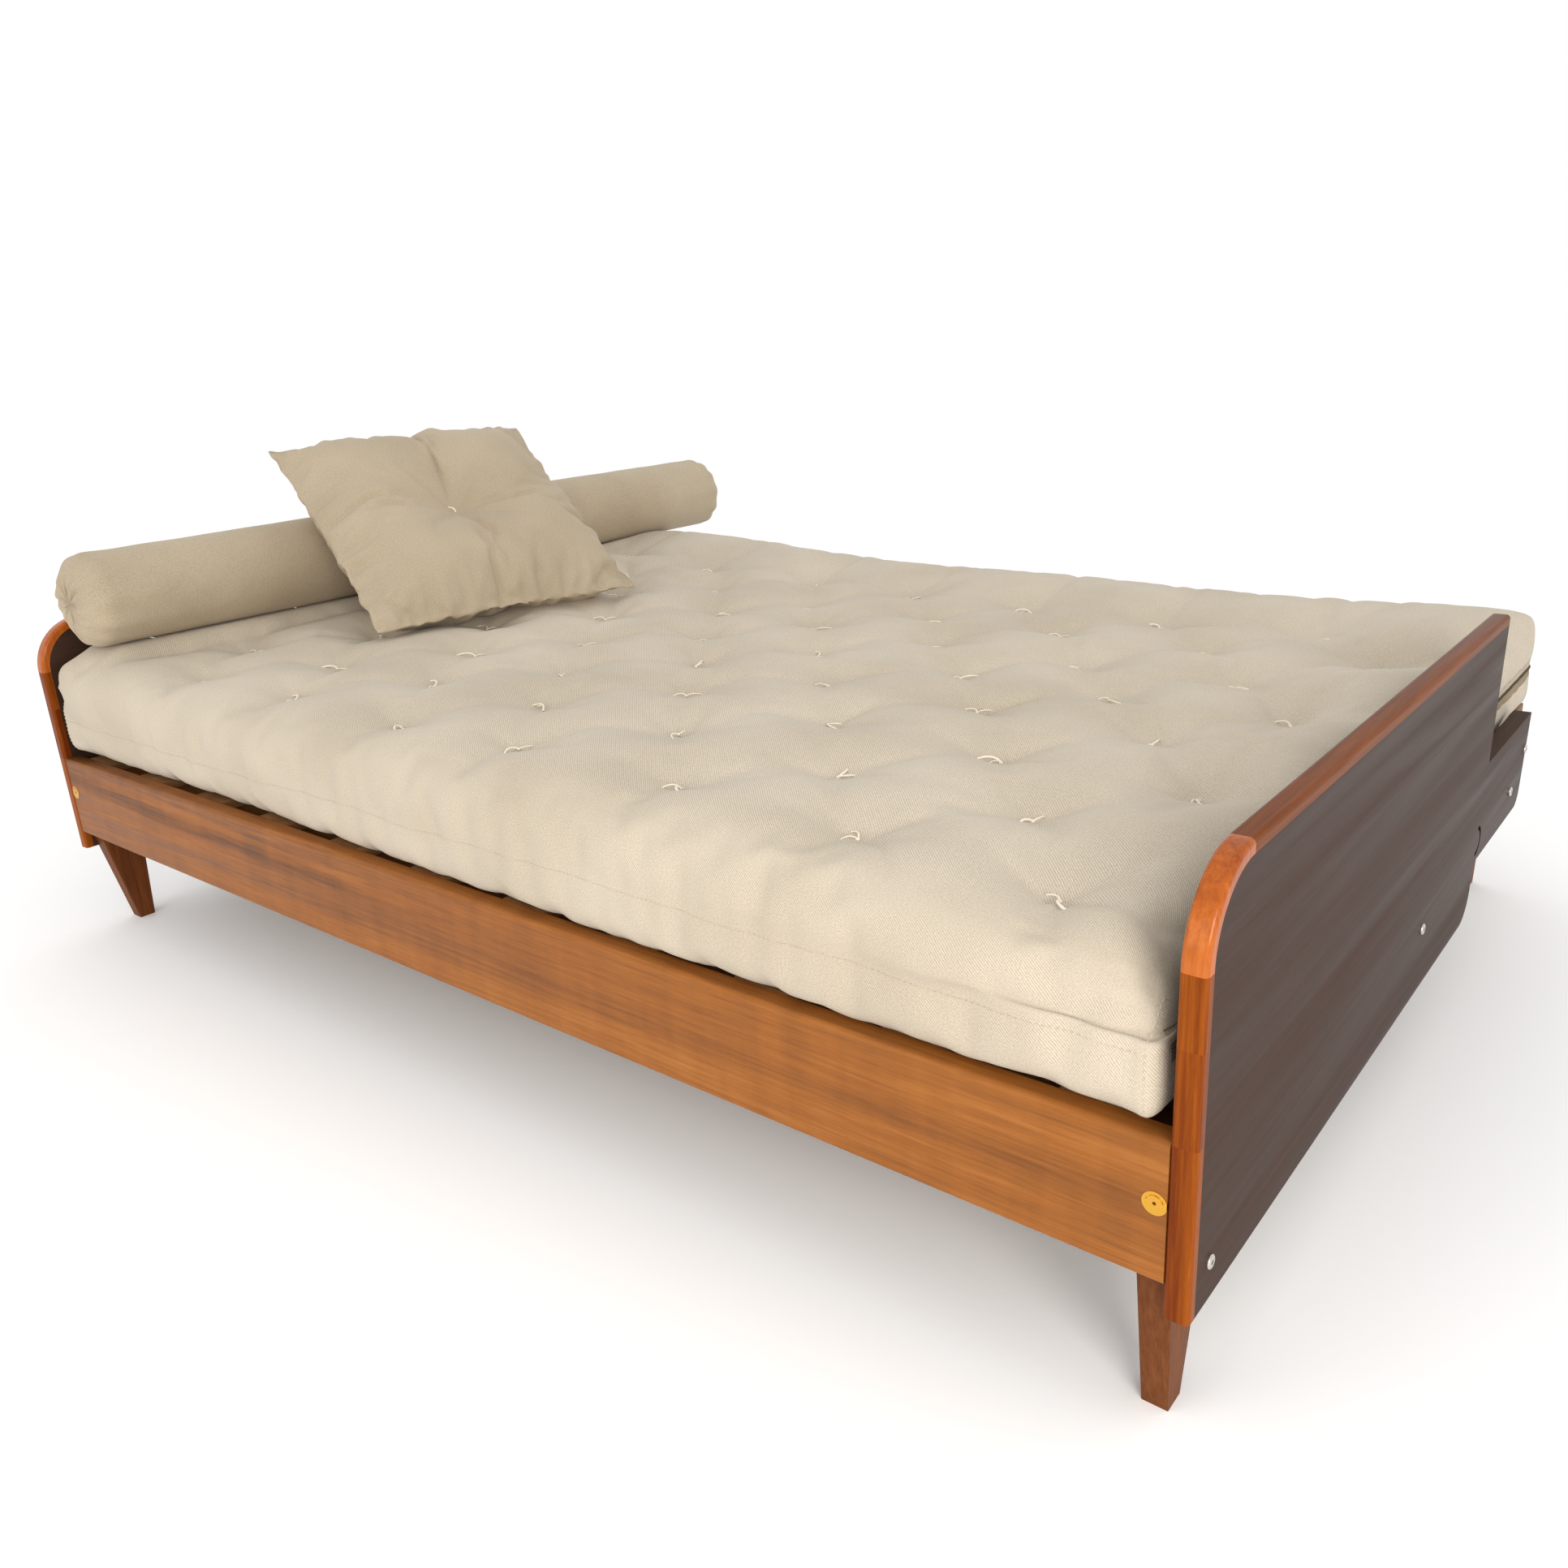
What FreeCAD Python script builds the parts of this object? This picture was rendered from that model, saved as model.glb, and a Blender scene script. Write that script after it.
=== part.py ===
"""Daybed that folds from a double bed into a sofa.

Two board end panels with solid wood lipping carry a front rail, a seat frame with slats, and a
slatted back frame that turns on two pivot pins. The back frame lies flat as the rear half of the
bed, on two folding legs. Loose goods: a tufted mattress, a bolster and a pillow.

Millimetres. X runs along the front rail, Y from front to back, Z up. While the pieces are made,
Y = 0 is the front edge of the end panels; the finished pieces are moved so that the origin is on
the floor under the middle of the whole daybed.
"""
import FreeCAD, Part
import math
import os

V = FreeCAD.Vector
X_AXIS = V(1, 0, 0)
Y_AXIS = V(0, 1, 0)
Z_AXIS = V(0, 0, 1)

# ---- overall sizes ----
INNER_LENGTH = 1900.0        # between the inner faces of the end panels
PANEL_TOP = 522.0            # top of the end panels above the floor
PANEL_BOTTOM = 138.0
PANEL_DEPTH = 931.0          # front edge to the rear top corner of a panel
BACK_DEPTH = 468.0           # pivot to the rear face of the back frame

# ---- end panels and lipping ----
PANEL_T = 22.0
PANEL_WAIST_INSET = 38.0     # lower rear edge in front of the rear top corner
PANEL_CORNER_R = 80.0        # front top corner
PANEL_HEEL_R = 40.0          # bottom rear corner
REAR_RAKE = 17.0             # how far the rear edge leans back over the part above the tail
TAIL_TOP = 338.0
TAIL_BOTTOM = 210.0
TAIL_LENGTH = 258.0          # tail past the foot of the raked rear edge
TAIL_RAKE = 22.0
TAIL_CORNER_R = 25.0
TAIL_ROOT_R = 10.0
LIP_W = 12.0
LIP_ROUND = 5.0
LIP_JOINT_UPPER = 380.0      # butt joint in the front lipping; the lower one is level with the rail

# ---- front rail, legs ----
RAIL_T = 23.0
RAIL_SETBACK = 1.0
RAIL_BOTTOM = 168.0
RAIL_ROUND = 6.0
RAIL_LOWER_ROUND = 2.0
LEG_ROUND = 2.0
SLAT_ROUND = 2.0
JOINT_GAP = 0.3              # between neighbours that only meet
FRONT_LEG_T = 29.0
FRONT_LEG_FOOT_T = 25.0
FRONT_LEG_FOOT_INSET = 8.0   # panel's inner face to the foot
FRONT_LEG_SETBACK = 13.0     # leg behind the rail face, below the rail
FRONT_LEG_DEPTH = 68.0
FRONT_LEG_FOOT_SETBACK = 46.0
FRONT_LEG_FOOT_DEPTH = 25.0
FRONT_LEG_TOP = 250.0
REAR_LEG_T = 27.0
REAR_LEG_DEPTH = 30.0
REAR_LEG_FOOT_DEPTH = 22.0
REAR_LEG_INSET = 43.0        # panel to the outer face of the rear leg

# ---- seat frame ----
DECK_BEARING = 281.0         # underside of all slats
SLAT_T = 16.0
SLAT_W = 70.0
SEAT_SLATS = 11
SLAT_END_GAP = 35.0          # panel to the first seat slat
LEDGER_W = 62.0
LEDGER_H = 26.0
BEAM_T = 25.0
BEAM_H = 110.0
BEAM_INSET = 253.0           # middle of the beam in front of the pivot
SEAT_REAR_T = 22.0
SEAT_REAR_H = 90.0
SWING_CLEARANCE = 8.0        # between the fixed frame and the turning back frame
BRACKET_T = 2.0
BRACKET_ARM = 38.0
BRACKET_H = 40.0

# ---- back frame ----
PIVOT_INSET = 31.0           # in front of the panel's rear top corner
PIVOT_DROP = 43.0            # below the slats' underside
FOLD_ANGLE = 84.5            # flat bed to upright back, degrees
STILE_T = 25.0
STILE_H = 57.0
STILE_GAP = 20.0             # panel to stile
STILE_LEAD = 15.0            # stile in front of the pivot
BACK_SLATS = 5
BACK_RAIL_T = 22.0
CLEAT_T = 18.0
CLEAT_INSET = 7.0            # cleat in front of the tail's rear end
CLEAT_LENGTH = 110.0
CLEAT_FOOT_T = 12.8          # foot that the stile rests on
CLEAT_DROP = 0.2             # foot below the stile

# ---- folding legs of the back frame ----
FOLD_LEG_T = 23.0
FOLD_LEG_W = 40.0
FOLD_LEG_FOOT_W = 26.0
FOLD_LEG_PIVOT_DROP = 29.0   # below the slats' underside
FOLD_LEG_GAP = 2.0           # leg to stile
FOLD_LEG_PLAY = 0.5          # leg to the rail it turns against

# ---- metal parts ----
PIN_R = 5.0
RUNNING_CLEARANCE = 0.05
PIN_HEAD_R = 9.0
PIN_HEAD_T = 5.5
PIN_IN_PANEL = 12.0
BUSH_R = 10.0
BUSH_END_PLAY = 0.5
STOP_PIN_R = 2.5
STOP_RADIUS = 17.0           # stop pin to pivot
STOP_REST_ANGLE = -5.0
SLOT_LOW_ANGLE = -90.0
SLOT_END_PLAY = 1.5          # degrees past the stop pin's travel
SLOT_W = 6.0
BOLT_R = 3.0
BOLT_HEAD_R = 6.5
BOLT_HEAD_T = 3.0
BOLT_SOCKET_ACROSS = 4.0
BOLT_SOCKET_DEPTH = 1.2
NUT_R = 6.0
NUT_H = 38.0
NUT_INSET = 35.0
RAIL_SCREW_INSET = 10.0      # from the panel's inner face
RAIL_SCREW_Z = 240.0
RAIL_SCREW_LENGTH = 62.0
RAIL_SCREW_HEAD_R = 5.0
RAIL_SCREW_HEAD_T = 4.0
COVER_R = 10.5
COVER_T = 3.2
COVER_HOLE_R = 1.6
COVER_MARK_R = 6.8           # curved mark round the hole
COVER_MARK_W = 1.1
COVER_MARK_DEPTH = 0.8
COVER_MARK_TURN = 150.0      # degrees
LEG_BOLT_R = 4.0
LEG_BOLT_HEAD_R = 8.0
LEG_BOLT_HEAD_T = 3.0
LEG_NUT_ACROSS = 13.0
LEG_NUT_T = 6.0
LEG_NUT_PLAY = 0.5
SLAT_SCREW_R = 2.0
SLAT_SCREW_HEAD_R = 4.0
SLAT_SCREW_HEAD_T = 2.5
SLAT_SCREW_LENGTH = 36.0

LEG_BOLT_INSET = 37.0        # from the panel's front edge
LEG_BOLT_RISE = 39.0         # above the panel's lower edge
BEAM_BOLT_DROP = 62.0        # below the underside of the slats
CLEAT_BOLTS = ((26.0, -32.0), (97.0, 9.0))  # behind the cleat's front, above the slats' underside

# ---- loose goods ----
MATTRESS_T = 180.0
MATTRESS_FRONT = 12.0
MATTRESS_REAR_INSET = 18.0   # mattress inside the rear face of the back frame
MATTRESS_SIDE_GAP = 4.0
MITRE_EXTRA = 1.5            # degrees past half the fold
BOLSTER_D = 155.0
BOLSTER_LENGTH = 1460.0
BOLSTER_FRONT = 30.0
BOLSTER_SIDE_GAP = 10.0      # bolster to end panel
PILLOW_SIDE = 476.0
PILLOW_T = 160.0
PILLOW_FACE_SIDE = 230.0     # flat middle of each face
PILLOW_TILT = 34.3           # leaning on the bolster
PILLOW_TURN = -13.0          # seen from above
PILLOW_REACH = 424.0         # middle of the bolster to the pillow's lower edge
PILLOW_MIDDLE_Y = 604.0
PILLOW_LIFT = 6.0            # lower edge above the mattress

# ---- worked out ----
IN = INNER_LENGTH / 2
OUT = IN + PANEL_T
RAKE_FOOT_Y = PANEL_DEPTH - REAR_RAKE
PANEL_WAIST_Y = PANEL_DEPTH - PANEL_WAIST_INSET
TAIL_END_Y = RAKE_FOOT_Y + TAIL_LENGTH
PIVOT_Y = PANEL_DEPTH - PIVOT_INSET
PIVOT_Z = DECK_BEARING - PIVOT_DROP
FOLD_LEG_PIVOT_Z = DECK_BEARING - FOLD_LEG_PIVOT_DROP
BEAM_Y = PIVOT_Y - BEAM_INSET
BACK_REAR_Y = PIVOT_Y + BACK_DEPTH
BACK_RAIL_Y = BACK_REAR_Y - BACK_RAIL_T
STILE_BOTTOM = DECK_BEARING - STILE_H
STILE_OUT = IN - STILE_GAP
STILE_IN = STILE_OUT - STILE_T
BACK_FRONT_Y = PIVOT_Y - STILE_LEAD
DECK_TOP = DECK_BEARING + SLAT_T
RAIL_TOP = DECK_TOP
SWING_R = math.hypot(STILE_LEAD, DECK_TOP - PIVOT_Z)
SLAT_REAR_Y = PIVOT_Y - SWING_R - SWING_CLEARANCE
SEAT_REAR_Y = SLAT_REAR_Y - SEAT_REAR_T
RAIL_BACK_Y = RAIL_SETBACK + RAIL_T
MATTRESS_BOTTOM = DECK_TOP + JOINT_GAP
MATTRESS_TOP = MATTRESS_BOTTOM + MATTRESS_T
MATTRESS_REAR = BACK_REAR_Y - MATTRESS_REAR_INSET
BOLSTER_R = BOLSTER_D / 2
BOLSTER_X = -(IN - BOLSTER_SIDE_GAP - BOLSTER_R)
PILLOW_LOW_X = BOLSTER_X + PILLOW_REACH
FOLD_LEG_X = STILE_IN - FOLD_LEG_GAP - FOLD_LEG_W / 2
FOLD_LEG_Y = BACK_RAIL_Y - FOLD_LEG_PLAY - FOLD_LEG_T
REAR_Y = max(BACK_REAR_Y + LEG_BOLT_HEAD_T, BOLSTER_FRONT + BOLSTER_LENGTH)
TO_ORIGIN = V(0, -REAR_Y / 2, 0)
CLEAT_REAR = TAIL_END_Y - CLEAT_INSET
CLEAT_FRONT = CLEAT_REAR - CLEAT_LENGTH

SAME_PLACE = 0.01            # points this near to each other are one point

# Bolts on the outer faces of the panels as (distance from the front edge, height).
LEG_BOLT_PLACE = (LEG_BOLT_INSET, PANEL_BOTTOM + LEG_BOLT_RISE)
BEAM_BOLT_PLACE = (BEAM_Y, DECK_BEARING - BEAM_BOLT_DROP)
CLEAT_BOLT_PLACES = [(CLEAT_FRONT + back, DECK_BEARING + up) for back, up in CLEAT_BOLTS]

os.makedirs("parts", exist_ok=True)


def save(name, shape):
    """Move one finished piece to the origin's frame and write it."""
    moved = shape.copy()
    moved.translate(TO_ORIGIN)
    if not moved.isValid() or moved.Volume <= 0:
        raise ValueError("bad solid: " + name)
    moved.exportStep("parts/" + name + ".step")


def box(x0, x1, y0, y1, z0, z1):
    return Part.makeBox(x1 - x0, y1 - y0, z1 - z0, V(x0, y0, z0))


def rod(radius, start, direction, length):
    return Part.makeCylinder(radius, length, V(*start), direction)


def mirrored(shape):
    """The same piece for the other end of the daybed."""
    return shape.mirror(V(0, 0, 0), X_AXIS)


def side_plate(outline, x0, x1):
    """A flat board standing across X, from its (y, z) outline."""
    points = [V(x0, y, z) for y, z in outline]
    face = Part.Face(Part.makePolygon(points + points[:1]))
    return face.extrude(V(x1 - x0, 0, 0))


def front_plate(outline, y0, y1):
    """A flat board standing across Y, from its (x, z) outline."""
    points = [V(x, y0, z) for x, z in outline]
    face = Part.Face(Part.makePolygon(points + points[:1]))
    return face.extrude(V(0, y1 - y0, 0))


def round_corner(solid, y, z, radius):
    """Round the edge that runs along X at (y, z)."""
    def at_corner(edge):
        ends = [v.Point for v in edge.Vertexes]
        near = all(abs(p.y - y) < SAME_PLACE and abs(p.z - z) < SAME_PLACE for p in ends)
        return len(ends) == 2 and near

    edges = [edge for edge in solid.Edges if at_corner(edge)]
    return solid.makeFillet(radius, edges)


def screw(radius, head_radius, head_length, start, direction, length):
    """A screw whose head starts at the start point and whose shank runs on along direction."""
    head = rod(head_radius, start, direction, head_length)
    shank = rod(radius, start, direction, length)
    return head.fuse(shank).removeSplitter().Solids[0]


def hex_outline(across, x, z):
    corner = across / math.sqrt(3)
    angles = [math.radians(60 * i) for i in range(6)]
    return [(x + corner * math.cos(a), z + corner * math.sin(a)) for a in angles]


def arrises(solid, axis, shortest):
    """Straight edges that run at least a given length along an axis."""
    straight = [edge for edge in solid.Edges if len(edge.Vertexes) == 2]
    runs = [edge.Vertexes[1].Point - edge.Vertexes[0].Point for edge in straight]
    return [edge for edge, run in zip(straight, runs) if abs(run.dot(axis)) > shortest]


def eased(solid, radius, edges):
    return solid.makeFillet(radius, edges).Solids[0]


def group(shapes):
    return Part.makeCompound(shapes)


def less(shape, tools):
    """Cut every tool out of a shape and keep the one solid that is left."""
    for tool in tools:
        shape = shape.cut(tool)
    return shape.Solids[0] if len(shape.Solids) == 1 else shape


# ---- metal parts, made first because the wood is bored to suit them ----
def panel_bolt(place, inner_x):
    """A bolt with a low domed head on the outer face of a panel."""
    y, z = place
    head = rod(BOLT_HEAD_R, (OUT, y, z), X_AXIS, BOLT_HEAD_T)
    outer_edges = [e for e in head.Edges if abs(e.CenterOfMass.x - OUT - BOLT_HEAD_T) < 0.01]
    head = head.makeFillet(BOLT_HEAD_T * 0.6, outer_edges)
    shank = rod(BOLT_R, (inner_x, y, z), X_AXIS, OUT - inner_x)
    socket_x = OUT + BOLT_HEAD_T - BOLT_SOCKET_DEPTH
    socket = side_plate(hex_outline(BOLT_SOCKET_ACROSS, y, z), socket_x, OUT + BOLT_HEAD_T)
    return head.fuse(shank).removeSplitter().cut(socket).Solids[0]


def pivot_pin():
    start = (STILE_IN - BUSH_END_PLAY - PIN_HEAD_T, PIVOT_Y, PIVOT_Z)
    return screw(PIN_R, PIN_HEAD_R, PIN_HEAD_T, start, X_AXIS, IN + PIN_IN_PANEL - start[0])


def pivot_bush():
    start = (STILE_OUT + BUSH_END_PLAY, PIVOT_Y, PIVOT_Z)
    length = STILE_GAP - BUSH_END_PLAY
    return rod(BUSH_R, start, X_AXIS, length).cut(rod(PIN_R, start, X_AXIS, length))


def stop_pin():
    angle = math.radians(STOP_REST_ANGLE)
    y = PIVOT_Y + STOP_RADIUS * math.cos(angle)
    z = PIVOT_Z + STOP_RADIUS * math.sin(angle)
    inside = STILE_OUT - STILE_T / 2
    return rod(STOP_PIN_R, (inside, y, z), X_AXIS, OUT - BRACKET_T - inside)


def stop_slot():
    """The curved slot that the stop pin travels in, centred on the pivot."""
    high = STOP_REST_ANGLE + FOLD_ANGLE + SLOT_END_PLAY
    low = SLOT_LOW_ANGLE
    inner = STOP_RADIUS - SLOT_W / 2
    outer = STOP_RADIUS + SLOT_W / 2

    def at(radius, degrees):
        angle = math.radians(degrees)
        return V(IN, PIVOT_Y + radius * math.cos(angle), PIVOT_Z + radius * math.sin(angle))

    def end_cap(degrees):
        return rod(SLOT_W / 2, tuple(at(STOP_RADIUS, degrees)), X_AXIS, PANEL_T)

    middle = (low + high) / 2
    edges = [
        Part.Arc(at(outer, low), at(outer, middle), at(outer, high)).toShape(),
        Part.LineSegment(at(outer, high), at(inner, high)).toShape(),
        Part.Arc(at(inner, high), at(inner, middle), at(inner, low)).toShape(),
        Part.LineSegment(at(inner, low), at(outer, low)).toShape(),
    ]
    band = Part.Face(Part.Wire(edges)).extrude(V(PANEL_T, 0, 0))
    return band.fuse(end_cap(low)).fuse(end_cap(high))


def barrel_nut(bolt):
    x = IN - NUT_INSET
    y, z = BEAM_BOLT_PLACE
    return rod(NUT_R, (x, y, z - NUT_H / 2), Z_AXIS, NUT_H).cut(bolt)


def rail_screw():
    start = (IN - RAIL_SCREW_INSET, RAIL_SETBACK + COVER_T - RAIL_SETBACK / 2, RAIL_SCREW_Z)
    return screw(BOLT_R, RAIL_SCREW_HEAD_R, RAIL_SCREW_HEAD_T, start, Y_AXIS, RAIL_SCREW_LENGTH)


def rail_cover():
    start = (IN - RAIL_SCREW_INSET, RAIL_SETBACK / 2, RAIL_SCREW_Z)
    disc = rod(COVER_R, start, Y_AXIS, COVER_T)
    # The rim is trimmed where the disc would run into the end panel.
    disc = disc.common(box(0, IN, 0, RAIL_BACK_Y, 0, RAIL_TOP))
    # Half a shallow ring is cut into the face as a driver mark.
    x, y, z = start
    ring = rod(COVER_MARK_R + COVER_MARK_W, start, Y_AXIS, COVER_MARK_DEPTH)
    ring = ring.cut(rod(COVER_MARK_R, start, Y_AXIS, COVER_MARK_DEPTH))
    reach = 2 * COVER_R
    half_turn = math.radians(COVER_MARK_TURN / 2)
    low, high = (x - reach * math.tan(half_turn), x + reach * math.tan(half_turn))
    wedge = front_plate([(x, z), (high, z + reach), (low, z + reach)], y, y + COVER_MARK_DEPTH)
    return disc.cut(rod(COVER_HOLE_R, start, Y_AXIS, COVER_T)).cut(ring.common(wedge))


def leg_bolt():
    """The bolt that a folding leg turns on, with its head behind the back frame."""
    start = (FOLD_LEG_X, BACK_REAR_Y + LEG_BOLT_HEAD_T, FOLD_LEG_PIVOT_Z)
    nut_front = FOLD_LEG_Y - LEG_NUT_PLAY - LEG_NUT_T
    return screw(LEG_BOLT_R, LEG_BOLT_HEAD_R, LEG_BOLT_HEAD_T, start, V(0, -1, 0), start[1] - nut_front)


def leg_nut(bolt):
    outline = hex_outline(LEG_NUT_ACROSS, FOLD_LEG_X, FOLD_LEG_PIVOT_Z)
    rear = FOLD_LEG_Y - LEG_NUT_PLAY
    return front_plate(outline, rear - LEG_NUT_T, rear).cut(bolt)


# ---- end panel and its lipping ----
def panel_outline(front, top):
    """The panel's side outline with its front and top edges at the given places."""
    heel_z = PANEL_BOTTOM
    lean = REAR_RAKE / (PANEL_TOP - TAIL_TOP)
    top_rear_y = RAKE_FOOT_Y + lean * (top - TAIL_TOP)
    return [
        (front, PANEL_BOTTOM),
        (front, top),
        (top_rear_y, top),
        (RAKE_FOOT_Y, TAIL_TOP),
        (TAIL_END_Y, TAIL_TOP),
        (TAIL_END_Y - TAIL_RAKE, TAIL_BOTTOM),
        (PANEL_WAIST_Y, TAIL_BOTTOM),
        (PANEL_WAIST_Y, heel_z),
    ]


def panel_blank(front, top, corner_radius):
    blank = side_plate(panel_outline(front, top), IN, OUT)
    blank = round_corner(blank, front, top, corner_radius)
    blank = round_corner(blank, PANEL_WAIST_Y, PANEL_BOTTOM, PANEL_HEEL_R)
    blank = round_corner(blank, TAIL_END_Y - TAIL_RAKE, TAIL_BOTTOM, TAIL_CORNER_R)
    return round_corner(blank, PANEL_WAIST_Y, TAIL_BOTTOM, TAIL_ROOT_R)


def lipped_edges(blank):
    """Edges along the front, the rounded corner and the top, on both faces of a panel."""
    found = []
    for edge in blank.Edges:
        middle = edge.valueAt((edge.FirstParameter + edge.LastParameter) / 2)
        ends = [v.Point for v in edge.Vertexes]
        along_x = len(ends) == 2 and abs(ends[0].x - ends[1].x) > 1
        on_front = abs(middle.y) < 0.01
        on_top = abs(middle.z - PANEL_TOP) < 0.01
        centre = PANEL_TOP - PANEL_CORNER_R
        reach = math.hypot(middle.y - PANEL_CORNER_R, middle.z - centre)
        in_corner = middle.y < PANEL_CORNER_R and middle.z > centre
        on_corner = in_corner and abs(reach - PANEL_CORNER_R) < 0.1
        if not along_x and (on_front or on_top or on_corner):
            found.append(edge)
    return found


def make_panel():
    """Return the board and its five lipping pieces, uncut by fasteners."""
    whole = panel_blank(0, PANEL_TOP, PANEL_CORNER_R)
    whole = whole.makeFillet(LIP_ROUND, lipped_edges(whole))
    board = panel_blank(LIP_W, PANEL_TOP - LIP_W, PANEL_CORNER_R - LIP_W)
    ring = whole.cut(board)
    corner_z = PANEL_TOP - PANEL_CORNER_R
    spans = {
        "top": (PANEL_CORNER_R, TAIL_END_Y, corner_z, PANEL_TOP),
        "corner": (0, PANEL_CORNER_R, corner_z, PANEL_TOP),
        "front_upper": (0, PANEL_CORNER_R, LIP_JOINT_UPPER, corner_z),
        "front_middle": (0, PANEL_CORNER_R, RAIL_TOP, LIP_JOINT_UPPER),
        "front_lower": (0, PANEL_CORNER_R, PANEL_BOTTOM, RAIL_TOP),
    }
    lips = {name: ring.common(box(IN, OUT, *span)).Solids[0] for name, span in spans.items()}
    return board, lips


# ---- wood pieces of the base ----
def make_front_leg(tools):
    """Tapered leg: below the rail it comes forward under it, above it stands behind it."""
    shoulder = RAIL_BOTTOM - JOINT_GAP
    front = RAIL_SETBACK + FRONT_LEG_SETBACK
    rear = front + FRONT_LEG_DEPTH
    foot = FRONT_LEG_FOOT_SETBACK
    outline = [
        (foot, 0),
        (front, shoulder),
        (RAIL_BACK_Y, shoulder),
        (RAIL_BACK_Y, FRONT_LEG_TOP),
        (rear, FRONT_LEG_TOP),
        (rear, shoulder),
        (foot + FRONT_LEG_FOOT_DEPTH, 0),
    ]
    blank = side_plate(outline, IN - FRONT_LEG_T - LIP_W, IN)
    # The faces that show from the front also taper towards the foot.
    outer_foot = IN - FRONT_LEG_FOOT_INSET
    taper = front_plate(
        [
            (outer_foot - FRONT_LEG_FOOT_T, 0),
            (outer_foot, 0),
            (IN, PANEL_BOTTOM),
            (IN, FRONT_LEG_TOP),
            (IN - FRONT_LEG_T, FRONT_LEG_TOP),
            (IN - FRONT_LEG_T, shoulder),
        ],
        0,
        rear,
    )
    leg = blank.common(taper).Solids[0]
    long_arrises = arrises(leg, Z_AXIS, shoulder / 2)
    front_inner = min(long_arrises, key=lambda edge: edge.CenterOfMass.x + edge.CenterOfMass.y)
    return less(eased(leg, LEG_ROUND, [front_inner]), tools)


def make_rear_leg():
    outer = IN - REAR_LEG_INSET
    rear = SEAT_REAR_Y
    outline = [
        (rear - REAR_LEG_FOOT_DEPTH, 0),
        (rear - REAR_LEG_DEPTH, PANEL_BOTTOM),
        (rear - REAR_LEG_DEPTH, FRONT_LEG_TOP),
        (rear, FRONT_LEG_TOP),
        (rear, 0),
    ]
    leg = side_plate(outline, outer - REAR_LEG_T, outer)
    return eased(leg, LEG_ROUND, arrises(leg, Z_AXIS, PANEL_BOTTOM / 2))


def make_cleat():
    """Angle-shaped bearer on the tail: its foot carries the stile when the back lies flat."""
    foot_top = STILE_BOTTOM - CLEAT_DROP
    foot_bottom = foot_top - CLEAT_FOOT_T
    web = box(IN - CLEAT_T, IN, CLEAT_FRONT, CLEAT_REAR, foot_bottom, DECK_TOP)
    foot = box(STILE_IN, IN, CLEAT_FRONT, CLEAT_REAR, foot_bottom, foot_top)
    return web.fuse(foot).removeSplitter().Solids[0]


def make_bracket():
    """Steel angle that holds the seat's rear rail to the end panel."""
    z0 = DECK_BEARING - SEAT_REAR_H / 2 - BRACKET_H / 2
    y1 = SEAT_REAR_Y
    on_rail = box(IN - BRACKET_ARM, IN, y1 - BRACKET_T, y1, z0, z0 + BRACKET_H)
    on_panel = box(IN - BRACKET_T, IN, y1 - BRACKET_ARM, y1, z0, z0 + BRACKET_H)
    return on_rail.fuse(on_panel).removeSplitter()


def slat_screw(x, y):
    start = (x, y, DECK_TOP)
    return screw(SLAT_SCREW_R, SLAT_SCREW_HEAD_R, SLAT_SCREW_HEAD_T, start, V(0, 0, -1), SLAT_SCREW_LENGTH)


# ---- back frame ----
def make_fold_leg():
    """Leg with a round head that turns on its bolt, tapering to the foot."""
    x = FOLD_LEG_X
    half = FOLD_LEG_W / 2
    foot = FOLD_LEG_FOOT_W / 2
    y0 = FOLD_LEG_Y
    z = FOLD_LEG_PIVOT_Z
    shank = front_plate([(x - foot, 0), (x + foot, 0), (x + half, z), (x - half, z)], y0, y0 + FOLD_LEG_T)
    head = rod(half, (x, y0, z), Y_AXIS, FOLD_LEG_T)
    bore = rod(LEG_BOLT_R + RUNNING_CLEARANCE, (x, y0, z), Y_AXIS, FOLD_LEG_T)
    return shank.fuse(head).removeSplitter().cut(bore).Solids[0]


# ---- loose goods ----
def make_mattress():
    """Seat part, bend and back part, cut along two planes through the pivot line."""
    slope = math.tan(math.radians(FOLD_ANGLE / 2 + MITRE_EXTRA))
    low = slope * (MATTRESS_BOTTOM - PIVOT_Z)
    high = slope * (MATTRESS_TOP - PIVOT_Z)
    gap = JOINT_GAP
    z0, z1 = MATTRESS_BOTTOM, MATTRESS_TOP
    half = IN - MATTRESS_SIDE_GAP
    seat = [(MATTRESS_FRONT, z0), (MATTRESS_FRONT, z1), (PIVOT_Y - high, z1), (PIVOT_Y - low, z0)]
    bend = [
        (PIVOT_Y - low + gap, z0),
        (PIVOT_Y - high + gap, z1),
        (PIVOT_Y + high - gap, z1),
        (PIVOT_Y + low - gap, z0),
    ]
    back = [(PIVOT_Y + low, z0), (PIVOT_Y + high, z1), (MATTRESS_REAR, z1), (MATTRESS_REAR, z0)]
    return [side_plate(outline, -half, half) for outline in (seat, bend, back)]


def make_bolster():
    z = MATTRESS_TOP + JOINT_GAP + BOLSTER_R
    roll = rod(BOLSTER_R, (BOLSTER_X, BOLSTER_FRONT, z), Y_AXIS, BOLSTER_LENGTH)
    return roll.makeFillet(BOLSTER_R / 3, [e for e in roll.Edges if e.Length > 2 * BOLSTER_R and e.Closed])


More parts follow.
